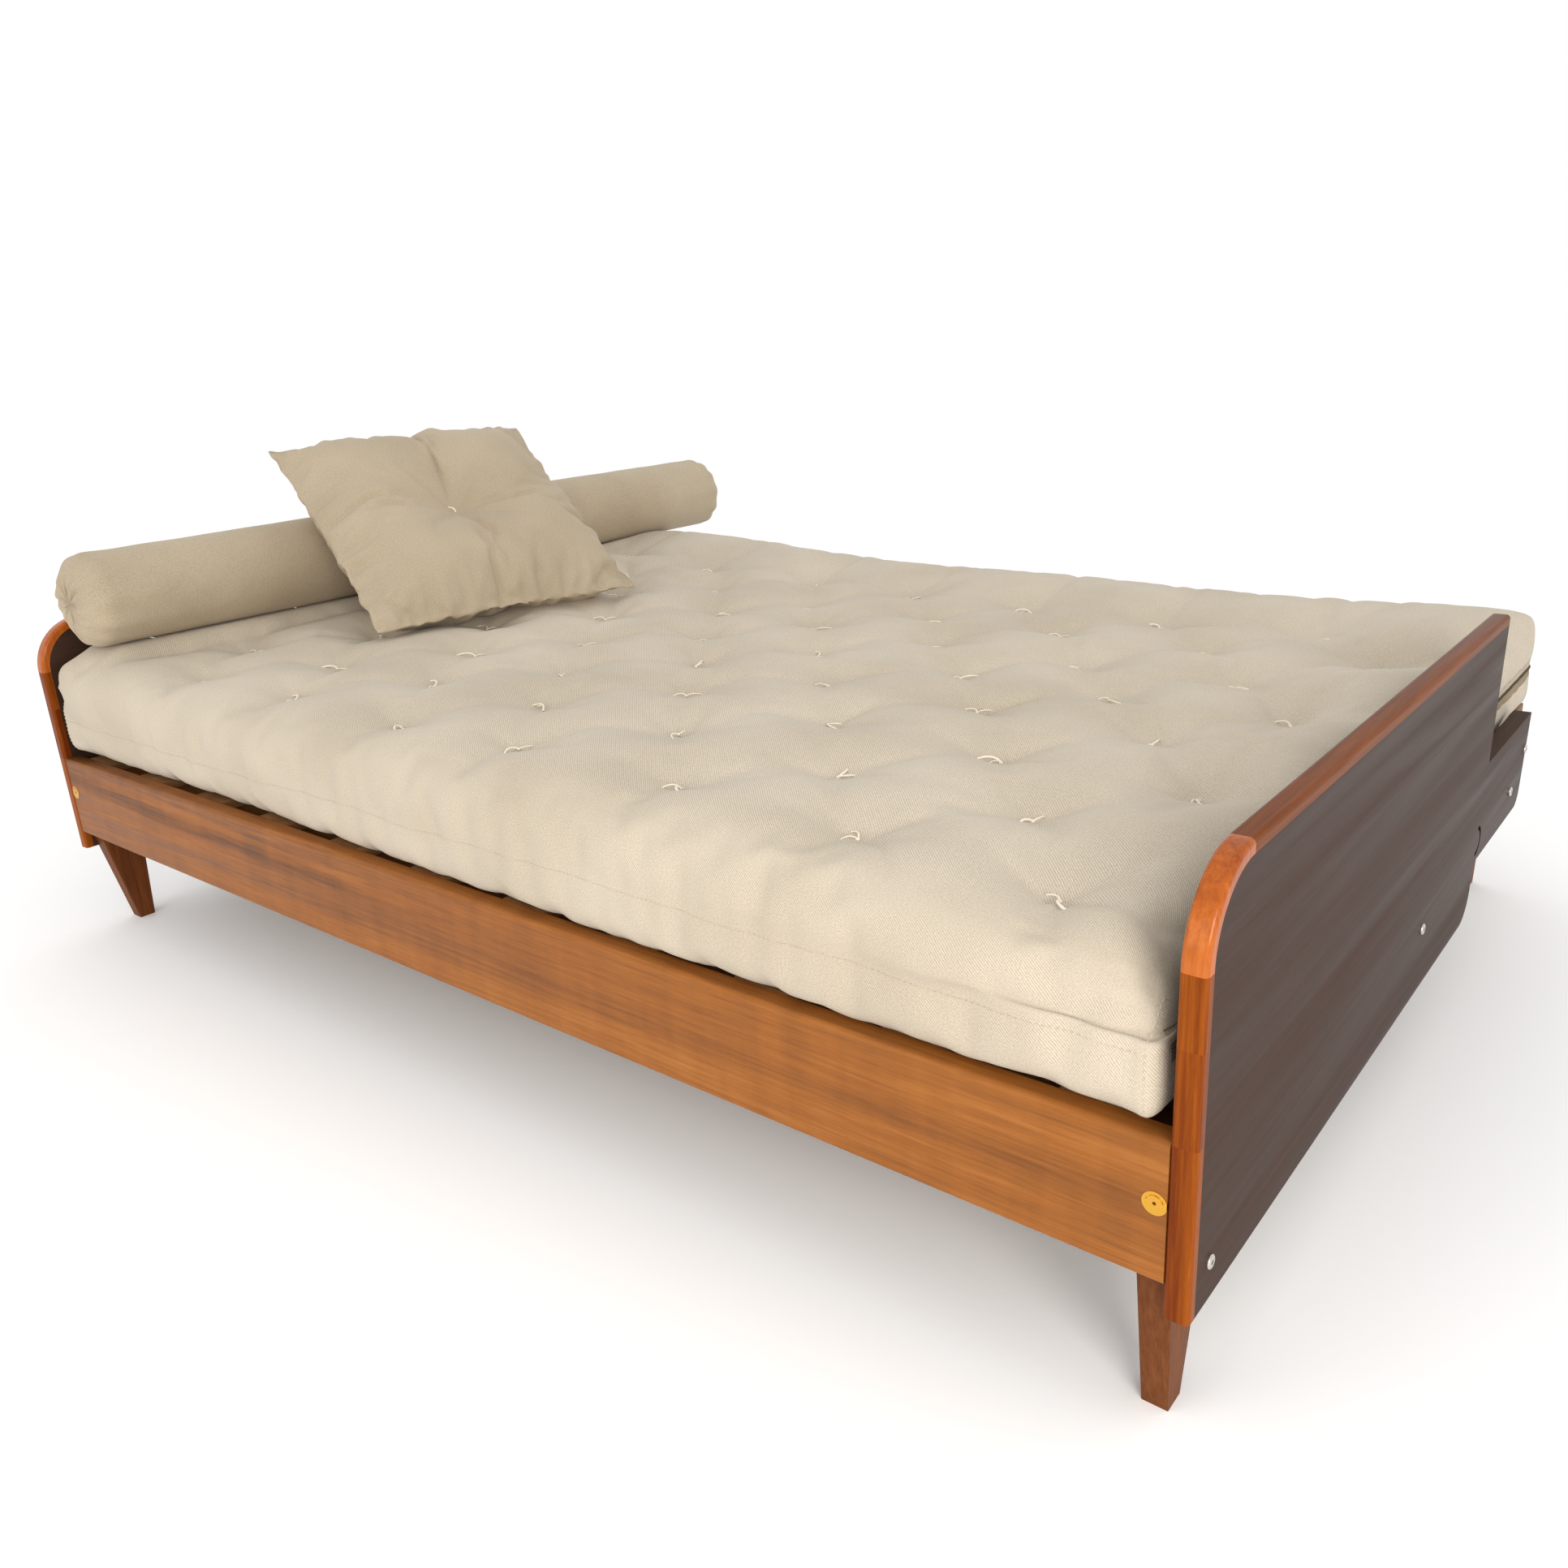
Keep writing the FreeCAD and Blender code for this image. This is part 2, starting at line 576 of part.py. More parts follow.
def make_pillow():
    """Knife-edged pillow: a square middle outline with a smaller flat on each face."""
    def square(side, height):
        half = side / 2
        turns = [(-1, -1), (1, -1), (1, 1), (-1, 1), (-1, -1)]
        return Part.makePolygon([V(x * half, y * half, height) for x, y in turns])

    edge = square(PILLOW_SIDE, 0)
    upper = Part.makeLoft([edge, square(PILLOW_FACE_SIDE, PILLOW_T / 2)], True, True)
    lower = Part.makeLoft([square(PILLOW_FACE_SIDE, -PILLOW_T / 2), edge], True, True)
    pillow = upper.fuse(lower).removeSplitter()
    pillow.rotate(V(0, 0, 0), Y_AXIS, PILLOW_TILT)
    pillow.rotate(V(0, 0, 0), Z_AXIS, PILLOW_TURN)
    tilt = math.radians(PILLOW_TILT)
    x = PILLOW_LOW_X - PILLOW_SIDE / 2 * math.cos(tilt)
    z = MATTRESS_TOP + PILLOW_LIFT + PILLOW_SIDE / 2 * math.sin(tilt)
    pillow.translate(V(x, PILLOW_MIDDLE_Y, z))
    return pillow


def evenly(first, last, count):
    return [first + (last - first) * i / (count - 1) for i in range(count)]


def build():
    sides = {"right": lambda shape: shape, "left": mirrored}

    leg_bolt_in = panel_bolt(LEG_BOLT_PLACE, IN - FRONT_LEG_T * 2 / 3)
    beam_bolt = panel_bolt(BEAM_BOLT_PLACE, IN - NUT_INSET - NUT_R * 2)
    cleat_bolts = [panel_bolt(place, IN - CLEAT_T * 2 / 3) for place in CLEAT_BOLT_PLACES]
    bolts = [leg_bolt_in, beam_bolt] + cleat_bolts
    pin, bush, stop = pivot_pin(), pivot_bush(), stop_pin()
    nut = barrel_nut(beam_bolt)
    rail_fix, cover = rail_screw(), rail_cover()
    turn_bolt = leg_bolt()

    def pair(shape):
        return group([shape, mirrored(shape)])

    save("panel_bolts", group(bolts + [mirrored(b) for b in bolts]))
    save("pivot_pins", pair(pin))
    save("pivot_bushes", pair(bush))
    save("stop_pins", pair(stop))
    save("beam_barrel_nuts", pair(nut))
    save("rail_brackets", pair(make_bracket()))
    save("rail_screws", pair(rail_fix))
    save("rail_screw_covers", pair(cover))
    save("fold_leg_bolts", pair(turn_bolt))
    save("fold_leg_nuts", pair(leg_nut(turn_bolt)))

    board, lips = make_panel()
    board = less(board, bolts + [pin, stop_slot()])
    cleat = less(make_cleat(), cleat_bolts)
    front_leg = make_front_leg([leg_bolt_in, rail_fix])

    stile = box(STILE_IN, STILE_OUT, BACK_FRONT_Y, BACK_RAIL_Y, STILE_BOTTOM, DECK_BEARING)
    bore = rod(PIN_R + RUNNING_CLEARANCE, (STILE_IN, PIVOT_Y, PIVOT_Z), X_AXIS, STILE_T)
    stile = less(stile, [bore, stop])
    fold_leg = make_fold_leg()

    back_ys = evenly(BACK_FRONT_Y + SLAT_W / 2, BACK_REAR_Y - SLAT_W / 2, BACK_SLATS)
    stile_x = (STILE_IN + STILE_OUT) / 2
    back_screws = [slat_screw(x, y) for x in (-stile_x, stile_x) for y in back_ys]
    for number, y in enumerate(back_ys, 1):
        slat = box(-STILE_OUT, STILE_OUT, y - SLAT_W / 2, y + SLAT_W / 2, DECK_BEARING, DECK_TOP)
        slat = eased(slat, SLAT_ROUND, arrises(slat, X_AXIS, STILE_OUT))
        save("back_slat_%d" % number, less(slat, back_screws))
    save("back_slat_screws", group(back_screws))

    seat_xs = evenly(-IN + SLAT_END_GAP + SLAT_W / 2, IN - SLAT_END_GAP - SLAT_W / 2, SEAT_SLATS)
    slat_front = RAIL_BACK_Y + BRACKET_T
    ledger_y = RAIL_BACK_Y + LEDGER_W / 2
    seat_rear_mid = SEAT_REAR_Y + SEAT_REAR_T / 2
    seat_screws = [slat_screw(x, y) for x in seat_xs for y in (ledger_y, BEAM_Y, seat_rear_mid)]
    for number, x in enumerate(seat_xs, 1):
        slat = box(x - SLAT_W / 2, x + SLAT_W / 2, slat_front, SLAT_REAR_Y, DECK_BEARING, DECK_TOP)
        slat = eased(slat, SLAT_ROUND, arrises(slat, Y_AXIS, SLAT_W))
        near = [s for s in seat_screws if abs(s.CenterOfMass.x - x) < SLAT_W / 2]
        save("seat_slat_%d" % number, less(slat, near))
    save("seat_slat_screws", group(seat_screws))

    rail = box(-IN, IN, RAIL_SETBACK, RAIL_BACK_Y, RAIL_BOTTOM, RAIL_TOP)
    rail = round_corner(rail, RAIL_SETBACK, RAIL_TOP, RAIL_ROUND)
    rail = round_corner(rail, RAIL_SETBACK, RAIL_BOTTOM, RAIL_LOWER_ROUND)
    recess = rod(COVER_R, (IN - RAIL_SCREW_INSET, 0, RAIL_SCREW_Z), Y_AXIS, COVER_T + RAIL_SETBACK / 2)
    save("front_rail", less(rail, [rail_fix, recess, mirrored(rail_fix), mirrored(recess)]))
    ledger = box(-IN, IN, RAIL_BACK_Y, RAIL_BACK_Y + LEDGER_W, DECK_BEARING - LEDGER_H, DECK_BEARING)
    save("front_ledger", less(ledger, seat_screws))
    beam = box(-IN, IN, BEAM_Y - BEAM_T / 2, BEAM_Y + BEAM_T / 2, DECK_BEARING - BEAM_H, DECK_BEARING)
    save("seat_beam", less(beam, seat_screws + [beam_bolt, nut, mirrored(beam_bolt), mirrored(nut)]))
    seat_rear = box(-IN, IN, SEAT_REAR_Y, SEAT_REAR_Y + SEAT_REAR_T, DECK_BEARING - SEAT_REAR_H, DECK_BEARING)
    save("seat_rear_rail", less(seat_rear, seat_screws))
    back_rail = box(-STILE_OUT, STILE_OUT, BACK_RAIL_Y, BACK_REAR_Y, STILE_BOTTOM, DECK_BEARING)
    save("back_rail", less(back_rail, back_screws + [turn_bolt, mirrored(turn_bolt)]))

    for side, place in sides.items():
        save("end_panel_" + side, place(board))
        for name, lip in lips.items():
            save("lip_%s_%s" % (side, name), place(lip))
        save("back_cleat_" + side, place(cleat))
        save("front_leg_" + side, place(front_leg))
        save("rear_leg_" + side, place(make_rear_leg()))
        save("back_stile_" + side, place(less(stile, back_screws)))
        save("fold_leg_" + side, place(fold_leg))

    seat_part, bend_part, back_part = make_mattress()
    save("mattress_seat", seat_part)
    save("mattress_bend", bend_part)
    save("mattress_back", back_part)
    save("bolster", make_bolster())
    save("pillow", make_pillow())


build()
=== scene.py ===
"""Looks of a daybed: lacquered end panels, solid wood rail and legs, a tufted mattress,
a bolster and a pillow in beige twill. Metres, Z up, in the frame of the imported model."""
import math
import random

import bpy
from mathutils import Matrix, Vector, noise
from mathutils.bvhtree import BVHTree
from mathutils.kdtree import KDTree


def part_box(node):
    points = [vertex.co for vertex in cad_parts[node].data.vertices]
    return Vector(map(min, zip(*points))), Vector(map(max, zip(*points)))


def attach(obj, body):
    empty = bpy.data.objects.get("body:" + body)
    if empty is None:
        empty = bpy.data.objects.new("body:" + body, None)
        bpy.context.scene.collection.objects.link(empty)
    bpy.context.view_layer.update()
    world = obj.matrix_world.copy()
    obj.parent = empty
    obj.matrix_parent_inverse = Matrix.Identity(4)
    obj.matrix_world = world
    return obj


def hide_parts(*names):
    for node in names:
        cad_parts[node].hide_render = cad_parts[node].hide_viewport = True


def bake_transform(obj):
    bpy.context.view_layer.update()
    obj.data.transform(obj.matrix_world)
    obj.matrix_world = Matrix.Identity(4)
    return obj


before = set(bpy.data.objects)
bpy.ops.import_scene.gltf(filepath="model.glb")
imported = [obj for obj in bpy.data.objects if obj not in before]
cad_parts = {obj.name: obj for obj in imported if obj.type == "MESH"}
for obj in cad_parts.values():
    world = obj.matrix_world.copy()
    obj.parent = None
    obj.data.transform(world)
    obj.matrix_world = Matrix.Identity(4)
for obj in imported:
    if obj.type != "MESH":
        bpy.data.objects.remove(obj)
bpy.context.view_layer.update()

MM = 0.001
scene = bpy.context.scene

# ---- places taken from the frame ----
rail_low, rail_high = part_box("front_rail")
panel_low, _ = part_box("end_panel_right")
seat_low, seat_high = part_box("mattress_seat")
_, back_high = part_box("mattress_back")
bolster_low, bolster_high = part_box("bolster")
pillow_low, pillow_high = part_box("pillow")
panel_face = panel_low.x                 # inner face of the right end panel
mattress_low = Vector(seat_low)
mattress_high = Vector((seat_high.x, back_high.y, seat_high.z))

# ---- mattress sizes ----
# A fade is given by where it starts and ends, in metres: along X if its name ends in X, else
# inwards from an edge.
MATTRESS_STEP = 13 * MM  # spacing of the coarse cloth mesh
FRONT_EDGE_R = 84 * MM  # roll along the top of the front
TOP_EDGE_R = 24 * MM  # the other top edges
BOTTOM_EDGE_R = 22 * MM
FRONT_ROLL_FADE = (0.06, 0.34)  # the front roll tightens away from the front
HEAD_ROLL_X = (-0.95, -0.4)
HEAD_ROLL_SHARE = 0.2  # share of it that is left there
FRONT_SQUARENESS = 5  # exponent of the corners' plan curve
REAR_SQUARENESS = 16
COVER_SPARE_ROOM = 9 * MM  # cover drawn in from its full size before it swells
FRONT_OVERHANG = 1 * MM
CROWN = 9 * MM  # top of the flat cover below the crown it swells to
MATTRESS_PRESSURE = 12.0
MATTRESS_SWELL = 26 * MM
COVER_SLACK = 0.02  # spare cloth, as a share of its size
UNDERSIDE_BAND = 2 * MM
SEAM_HOLD = MATTRESS_STEP * 0.5

# ---- filling: packed up at the head end, trodden down at the foot end, sagging at the rear ----
REAR_FADE = (0.15, 0.9)
HEAD_RISE = 20 * MM
HEAD_RISE_X = (-0.72, 0.0)
HEAD_EDGE_X = (-0.90, -0.76)
FOOT_FALL = 22 * MM
FOOT_FALL_X = (0.1, 0.95)
REAR_SAG = 15 * MM
REAR_SAG_FROM_X = (-0.75, -0.2)
REAR_SAG_TO_X = (0.4, 0.9)

# ---- tufts and creases ----
TUFT_PITCH_X = 118 * MM  # between neighbouring columns
TUFT_PITCH_Y = 287 * MM
TUFT_FIRST_X = 135 * MM  # foot end to the first column
TUFT_FRONT_MARGIN = 98 * MM
REAR_TUFT_MARGIN = 95 * MM
TUFT_WANDER = 12 * MM
TUFT_DRAW = 20 * MM  # how far a tie pulls the top down
TUFT_HOLD = MATTRESS_STEP * 0.95  # mesh points nearer than this are pulled down by the tie
TUFT_HOLLOW = 5 * MM  # soft hollow that the filling keeps round a tie
TUFT_HOLLOW_REACH = 55 * MM
CREASE_DEPTH = 11 * MM  # creases that run out from each tie
CREASE_REACH = 130 * MM
CREASE_LONGEST = 1.1  # share of that reach that the longest one has
CREASE_HALF = 24 * MM  # half the width of a crease
CREASE_START = 8 * MM  # creases deepen over this distance from the tie

# ---- front, hem and seams ----
SEAM_HEIGHT = 66 * MM  # boxing seam above the mattress's underside
SEAM_WAVE = 5 * MM
SEAM_CELLS = 5  # cells are how many times a metre the chance waves turn
HEM_SAG = 7 * MM  # uneven lower edge along the front
HEM_LIFT = 12 * MM  # hem stands higher towards the head
HEM_LIFT_X = (-0.75, 0.55)
HEM_DEPTH = 0.14  # distance from the front that the unevenness reaches
HEM_BAND = (0.25, 0.75)  # shares of the mattress's height over which it fades
HEM_BULGE = 0.5  # mean of its wave outwards
HEM_RAISE = 0.2  # and upwards
LONG_WAVE_CELLS = 3.4
SHORT_WAVE_CELLS = 9.0
SHORT_WAVE_SHARE = 0.6
PUCKER = 5 * MM  # gathers above the seam along the front
PUCKER_REACH = 0.045
PUCKER_CELLS = (38, 6)  # along the front and upwards
CORNER_SEAM_INSET = 20 * MM
CORNER_SEAM_HEIGHT = 125 * MM
CORNER_SEAM_HALF = 6 * MM
CORNER_SEAM_RISE = 3 * MM
CORNER_PUCKER = PUCKER * 0.7
CORNER_PUCKER_HALF = 0.03
CORNER_CELLS = (8, 70)
PANEL_CLEARANCE = 0.6 * MM
RAY_START = 0.1  # rays at the mattress start this far off it

# ---- where the mattress is pressed under the bolster ----
BOLSTER_FLAT = 7 * MM  # bolster's underside pressed flat where it rests
BOLSTER_SINK = 1 * MM  # and the mattress pressed under it
PRESS_LAYER = 60 * MM  # only this much of the top is pressed
PRESS_SIDE_FADE = (30 * MM, 70 * MM)
PRESS_FRONT_FADE = (10 * MM, 70 * MM)
PRESS_REAR_FADE = (10 * MM, 50 * MM)

# ---- stitches, ties, zip ----
TIE_LENGTH = 27 * MM
TIE_THREAD_R = 1.35 * MM
TIE_ENDS = (1.0, 0.72)  # relative sizes of a tie's two thread ends
TIE_SIZE_RANGE = (0.65, 1.15)
TIE_TILT_LOW = (-0.12, -0.05, -math.pi)
TIE_TILT_HIGH = (0.12, 0.1, math.pi)
TIE_KNOT_R = 2.1 * MM
TIE_LIFT = 1 * MM
STITCH_PITCH = 6 * MM
STITCH_LENGTH = 4 * MM
STITCH_WIDTH = 0.8 * MM
ZIP_TAPE_H = 26 * MM
ZIP_TOOTH_PITCH = 2.4 * MM
ZIP_TOOTH = (1.5 * MM, 3 * MM, 1.6 * MM)  # length, width and height
ZIP_COIL_OFFSET = 1.1 * MM  # each coil from the zip's middle
ZIP_FLAP_LOW = 3 * MM
ZIP_FLAP_H = 13 * MM
ZIP_FRONT_MARGIN = 14 * MM

# ---- bolster ----
BOLSTER_STEP = 13 * MM
STEP_AROUND = BOLSTER_STEP * 0.6
BOLSTER_INSET = 3 * MM  # cover drawn in before it swells
BOLSTER_END_DEPTH = 46 * MM
CAP_RINGS = 9
CAP_FIRST = 0.6  # first ring's place, in ring spacings from the middle
CAP_SPREAD = 0.85  # exponent that spaces the rings
CAP_CURVE = 2.6  # exponent of the rounded end
BOLSTER_PLEATS = 13
PLEAT_WANDER = 2.2
PLEAT_RISE = 0.065  # share of the radius
PLEAT_REACH = 0.06
PLEAT_PUSH = 5 * MM
PLEAT_RIM = (0.55, 1.0)  # shares of the radius over which the ends' pleats fade
BOLSTER_WRINKLE = 0.009  # share of the radius
WRINKLE_CELLS = (2.5, 16)  # round the roll and along it
BOLSTER_PRESSURE = 5.0
BOLSTER_SWELL = 7 * MM

# ---- pillow ----
PILLOW_CUT = 492 * MM  # side of the cover laid flat
PILLOW_SIDE = 476 * MM
PILLOW_TILT = math.radians(34.3)
PILLOW_TURN = math.radians(-13)
PILLOW_CELLS = 60
PILLOW_LOFT = 14 * MM  # each sheet's rise before the pillow is filled
PILLOW_RIPPLE = 1.5 * MM
PILLOW_EDGE_RIPPLE = 3 * MM
PILLOW_TIE_HALF = 12 * MM  # half the thickness left at the tie
PILLOW_DRAW_IN = 0.915  # seams gather the cover to this share of its cut
PILLOW_BOW = 0.035  # seams pulled in between the corners
PILLOW_SEAM_WAVE = 3.5 * MM
PILLOW_PRESSURE = 17.0
PILLOW_SWELL = 90 * MM
PILLOW_BELLY = 1.5  # underside fuller than the top, where the filling settles
PILLOW_CROWN = 1.12
PILLOW_GATHER = 6 * MM
GATHER_CELLS = (55, 9)  # along the seam and inwards
GATHER_RISE = (0, 8 * MM)
GATHER_FADE = (15 * MM, 85 * MM)

# ---- wood grain, painted shade on the rail, and cloth ----
TWILL_RIB = 3.2 * MM
GRAIN_STRETCH = 0.035  # how much slower the grain changes along the wood
PAINTED_SHADE_DROP = 20 * MM  # painted shade: a darker band below the rail's top edge, towards the head end, where the mattress's shade falls
PAINTED_SHADE_SLOPE = -0.035
PAINTED_SHADE_HALF = 26 * MM
PAINTED_SHADE_WAVE = 0.09
PAINTED_SHADE_DEPTH = 0.21
PAINTED_SHADE_FADE = (0.5, 1.0)  # distances along the rail over which it dies out

# ---- camera and floor ----
CAMERA_FROM_RAIL = (1.267, -0.803, 0.883)
CAMERA_ANGLES = (-40.02, -19.01, -3.354)  # yaw, pitch and roll in degrees
CAMERA_LENS = 29.5
CAMERA_SENSOR = 36
FLOOR_HALF = 14.0


# ---- small tools ----
def linear(colour):
    """An sRGB hex colour as linear red, green, blue and alpha."""
    parts = [int(colour[i:i + 2], 16) / 255 for i in (1, 3, 5)]
    return [p / 12.92 if p <= 0.04045 else ((p + 0.055) / 1.055) ** 2.4 for p in parts] + [1.0]


def smooth_step(low, high, value):
    t = min(max((value - low) / (high - low), 0.0), 1.0)
    return t * t * (3 - 2 * t)


def waver(x, y, z):
    """Smooth chance between about -1 and 1, the same each time for the same numbers."""
    return noise.noise(Vector((x, y, z)))


def add(tree, kind, inputs=None, **settings):
    """Add one node; inputs are set or linked by socket name or number."""
    made = tree.nodes.new(kind)
    for name, value in settings.items():
        setattr(made, name, value)
    for name, value in (inputs or {}).items():
        socket = made.inputs[name]
        if isinstance(value, bpy.types.Node):
            value = value.outputs[0]
        if isinstance(value, bpy.types.NodeSocket):
            tree.links.new(value, socket)
        else:
            socket.default_value = value
    return made


MATH = "ShaderNodeMath"
CHANCE = "ShaderNodeTexNoise"
RANGE = "ShaderNodeMapRange"


def blank_material(name):
    made = bpy.data.materials.new(name)
    made.use_nodes = True
    made.node_tree.nodes.clear()
    return made, made.node_tree


def with_shader(made, sockets):
    """Close a material with a shader that has these sockets set."""
    shader = add(made.node_tree, "ShaderNodeBsdfPrincipled", sockets)
    add(made.node_tree, "ShaderNodeOutputMaterial", {"Surface": shader})
    return made


def ramp(tree, factor, stops):
    """A colour ramp over (place, hex colour) stops."""
    made = add(tree, "ShaderNodeValToRGB", {"Fac": factor})
    band = made.color_ramp
    while len(band.elements) < len(stops):
        band.elements.new(0.5)
    for element, (place, colour) in zip(band.elements, stops):
        element.position = place
        element.color = linear(colour)
    return made


def mesh_piece(name, points, faces, material, edges=()):
    """A smooth mesh object at the origin."""
    mesh = bpy.data.meshes.new(name)
    mesh.from_pydata([tuple(p) for p in points], list(edges), faces)
    mesh.update()
    mesh.polygons.foreach_set("use_smooth", [True] * len(mesh.polygons))
    piece = bpy.data.objects.new(name, mesh)
    scene.collection.objects.link(piece)
    piece.data.materials.append(material)
    return piece


def chain(line):
    """The edges that join a line's points in order."""
    return [(i, i + 1) for i in range(len(line) - 1)]


def settle(piece):
    """Turn a piece with its modifiers into a plain mesh."""
    bpy.context.view_layer.update()
    graph = bpy.context.evaluated_depsgraph_get()
    mesh = bpy.data.meshes.new_from_object(piece.evaluated_get(graph))
    piece.modifiers.clear()
    piece.data = mesh
    mesh.name = piece.name
    return piece


def subdivide(piece, levels=1):
    modifier = piece.modifiers.new("smooth", "SUBSURF")
    modifier.levels = levels
    modifier.render_levels = levels
    return settle(piece)


def keep_cloth_places(piece, places):
    """Keep, on each point, where the cloth lay flat; the weave follows it."""
    attribute = piece.data.attributes.new("cloth", "FLOAT_VECTOR", "POINT")
    attribute.data.foreach_set("vector", [c for place in places for c in place])


def keep_own_places(piece):
    """Let the weave follow a small piece as it lies."""
    keep_cloth_places(piece, [v.co for v in piece.data.vertices])


def swell(piece, held, drawn, pressure, cap, spare=0.0, frames=20, bending=0.5, stretch=15, quality=4):
    """Fill a cover: held points stay, drawn points are pulled to new places, and the rest
    swells out by at most cap."""
    before = [v.co.copy() for v in piece.data.vertices]
    group = piece.vertex_groups.new(name="held")
    group.add(list(held) + list(drawn), 1.0, "REPLACE")
    piece.shape_key_add(name="flat")
    tied = piece.shape_key_add(name="tied")
    for number, place in drawn.items():
        tied.data[number].co = place
    tied.value = 0.0
    tied.keyframe_insert("value", frame=1)
    tied.value = 1.0
    tied.keyframe_insert("value", frame=frames // 2)
    cloth = piece.modifiers.new("cover", "CLOTH")
    settings = cloth.settings
    settings.quality = quality
    settings.mass = 0.3
    settings.tension_stiffness = stretch
    settings.compression_stiffness = stretch
    settings.shear_stiffness = stretch / 3
    settings.bending_stiffness = bending
    settings.use_pressure = True
    settings.uniform_pressure_force = pressure
    settings.shrink_min = -spare
    settings.vertex_group_mass = group.name
    settings.effector_weights.gravity = 0
    cloth.collision_settings.use_collision = False
    cloth.point_cache.frame_start = 1
    cloth.point_cache.frame_end = frames
    for number in range(1, frames + 1):
        scene.frame_set(number)
    graph = bpy.context.evaluated_depsgraph_get()
    after = [v.co.copy() for v in piece.evaluated_get(graph).data.vertices]
    piece.modifiers.remove(cloth)
    piece.vertex_groups.remove(group)
    piece.shape_key_clear()
    scene.frame_set(1)
    for number, vertex in enumerate(piece.data.vertices):
        move = after[number] - before[number]
        if number not in drawn and move.length > cap:
            move = move.normalized() * cap
        vertex.co = before[number] + move
    piece.data.update()
    return piece


# ---- geometry node trees ----
def new_tree(name, sizes):
    """A geometry tree with a geometry input, named number inputs and a geometry output."""
    tree = bpy.data.node_groups.new(name, "GeometryNodeTree")
    tree.interface.new_socket("Geometry", in_out="INPUT", socket_type="NodeSocketGeometry")
    for label, value in sizes.items():
        kind = "NodeSocketInt" if isinstance(value, int) else "NodeSocketFloat"
        tree.interface.new_socket(label, in_out="INPUT", socket_type=kind).default_value = value
    tree.interface.new_socket("Geometry", in_out="OUTPUT", socket_type="NodeSocketGeometry")
    return tree, add(tree, "NodeGroupInput")


def grow(piece, tree, **sizes):
    """Run a geometry tree on a piece and keep the result as a plain mesh."""
    modifier = piece.modifiers.new(tree.name, "NODES")
    modifier.node_group = tree
    for item in tree.interface.items_tree:
        if item.in_out == "INPUT" and item.name in sizes:
            modifier[item.identifier] = sizes[item.name]
    return settle(piece)


def end_tree(tree, geometry, material):
    real = add(tree, "GeometryNodeRealizeInstances", {"Geometry": geometry})
    finished = add(tree, "GeometryNodeSetMaterial", {"Geometry": real, "Material": material})
    add(tree, "NodeGroupOutput", {"Geometry": finished})
    return tree


def tie_tree(material):
    """On each point: a small knot and two loose thread ends at chance angles."""
    tree, given = new_tree("thread_ties", {"Length": TIE_LENGTH, "Thread": TIE_THREAD_R, "Seed": 1})
    section = add(
        tree, "GeometryNodeCurvePrimitiveCircle", {"Resolution": 6, "Radius": given.outputs["Thread"]},
    )
    spots = given.outputs["Geometry"]
    smallest, largest = TIE_SIZE_RANGE
    strands = []
    for number, reach in enumerate(TIE_ENDS):
        tip = add(
            tree, "ShaderNodeCombineXYZ", {0: given.outputs["Length"], 1: 0.2 * TIE_LENGTH, 2: 1.2 * MM},
        )
        line = add(
            tree, "GeometryNodeCurvePrimitiveBezierSegment", {"Resolution": 8, "Start": (0, 0, 0.5 * MM),
             "Start Handle": (0.3 * TIE_LENGTH, -0.25 * TIE_LENGTH, 6 * MM),
             "End Handle": (0.75 * TIE_LENGTH, -0.1 * TIE_LENGTH, 5 * MM), "End": tip},
        )
        strand = add(
            tree, "GeometryNodeCurveToMesh",
            {"Curve": line, "Profile Curve": section.outputs["Curve"], "Fill Caps": True},
        )
        seed = add(tree, MATH, {0: given.outputs["Seed"], 1: float(number)}, operation="ADD")
        turn = add(
            tree, "FunctionNodeRandomValue", {0: TIE_TILT_LOW, 1: TIE_TILT_HIGH, "Seed": seed},
            data_type="FLOAT_VECTOR",
        )
        size = add(
            tree, "FunctionNodeRandomValue",
            {2: smallest * reach, 3: largest * reach, "Seed": number + 7},
        )
        placed = add(
            tree, "GeometryNodeInstanceOnPoints", {"Points": spots, "Instance": strand, "Rotation": turn,
             "Scale": size.outputs[1]},
        )
        strands.append(placed)
    ball = add(tree, "GeometryNodeMeshIcoSphere", {"Radius": TIE_KNOT_R, "Subdivisions": 2})
    knots = add(
        tree, "GeometryNodeInstanceOnPoints",
        {"Points": spots, "Instance": ball, "Scale": (1.2, 1.0, 0.8)},
    )
    joined = add(tree, "GeometryNodeJoinGeometry")
    for part in [knots] + strands:
        tree.links.new(part.outputs[0], joined.inputs[0])
    return end_tree(tree, joined, material)


def row_tree(name, material, pitch, length, width, height):
    """Small rounded bars in a row along a path of edges: stitches or zip teeth."""
    tree, given = new_tree(name, {"Pitch": pitch, "Length": length, "Width": width, "Height": height})
    path = add(tree, "GeometryNodeMeshToCurve", {"Mesh": given.outputs["Geometry"]})
    spots = add(
        tree, "GeometryNodeCurveToPoints", {"Curve": path, "Length": given.outputs["Pitch"]}, mode="LENGTH",
    )
    size = add(
        tree, "ShaderNodeCombineXYZ",
        {0: given.outputs["Width"], 1: given.outputs["Height"], 2: given.outputs["Length"]},
    )
    ball = add(tree, "GeometryNodeMeshUVSphere", {"Segments": 6, "Rings": 4, "Radius": 0.5})
    shaped = add(tree, "GeometryNodeTransform", {"Geometry": ball, "Scale": size})
    placed = add(
        tree, "GeometryNodeInstanceOnPoints",
        {"Points": spots.outputs["Points"], "Instance": shaped, "Rotation": spots.outputs["Rotation"]},
    )
    shaded = add(tree, "GeometryNodeRealizeInstances", {"Geometry": placed})
    soft = add(tree, "GeometryNodeSetShadeSmooth", {"Geometry": shaded})
    return end_tree(tree, soft, material)


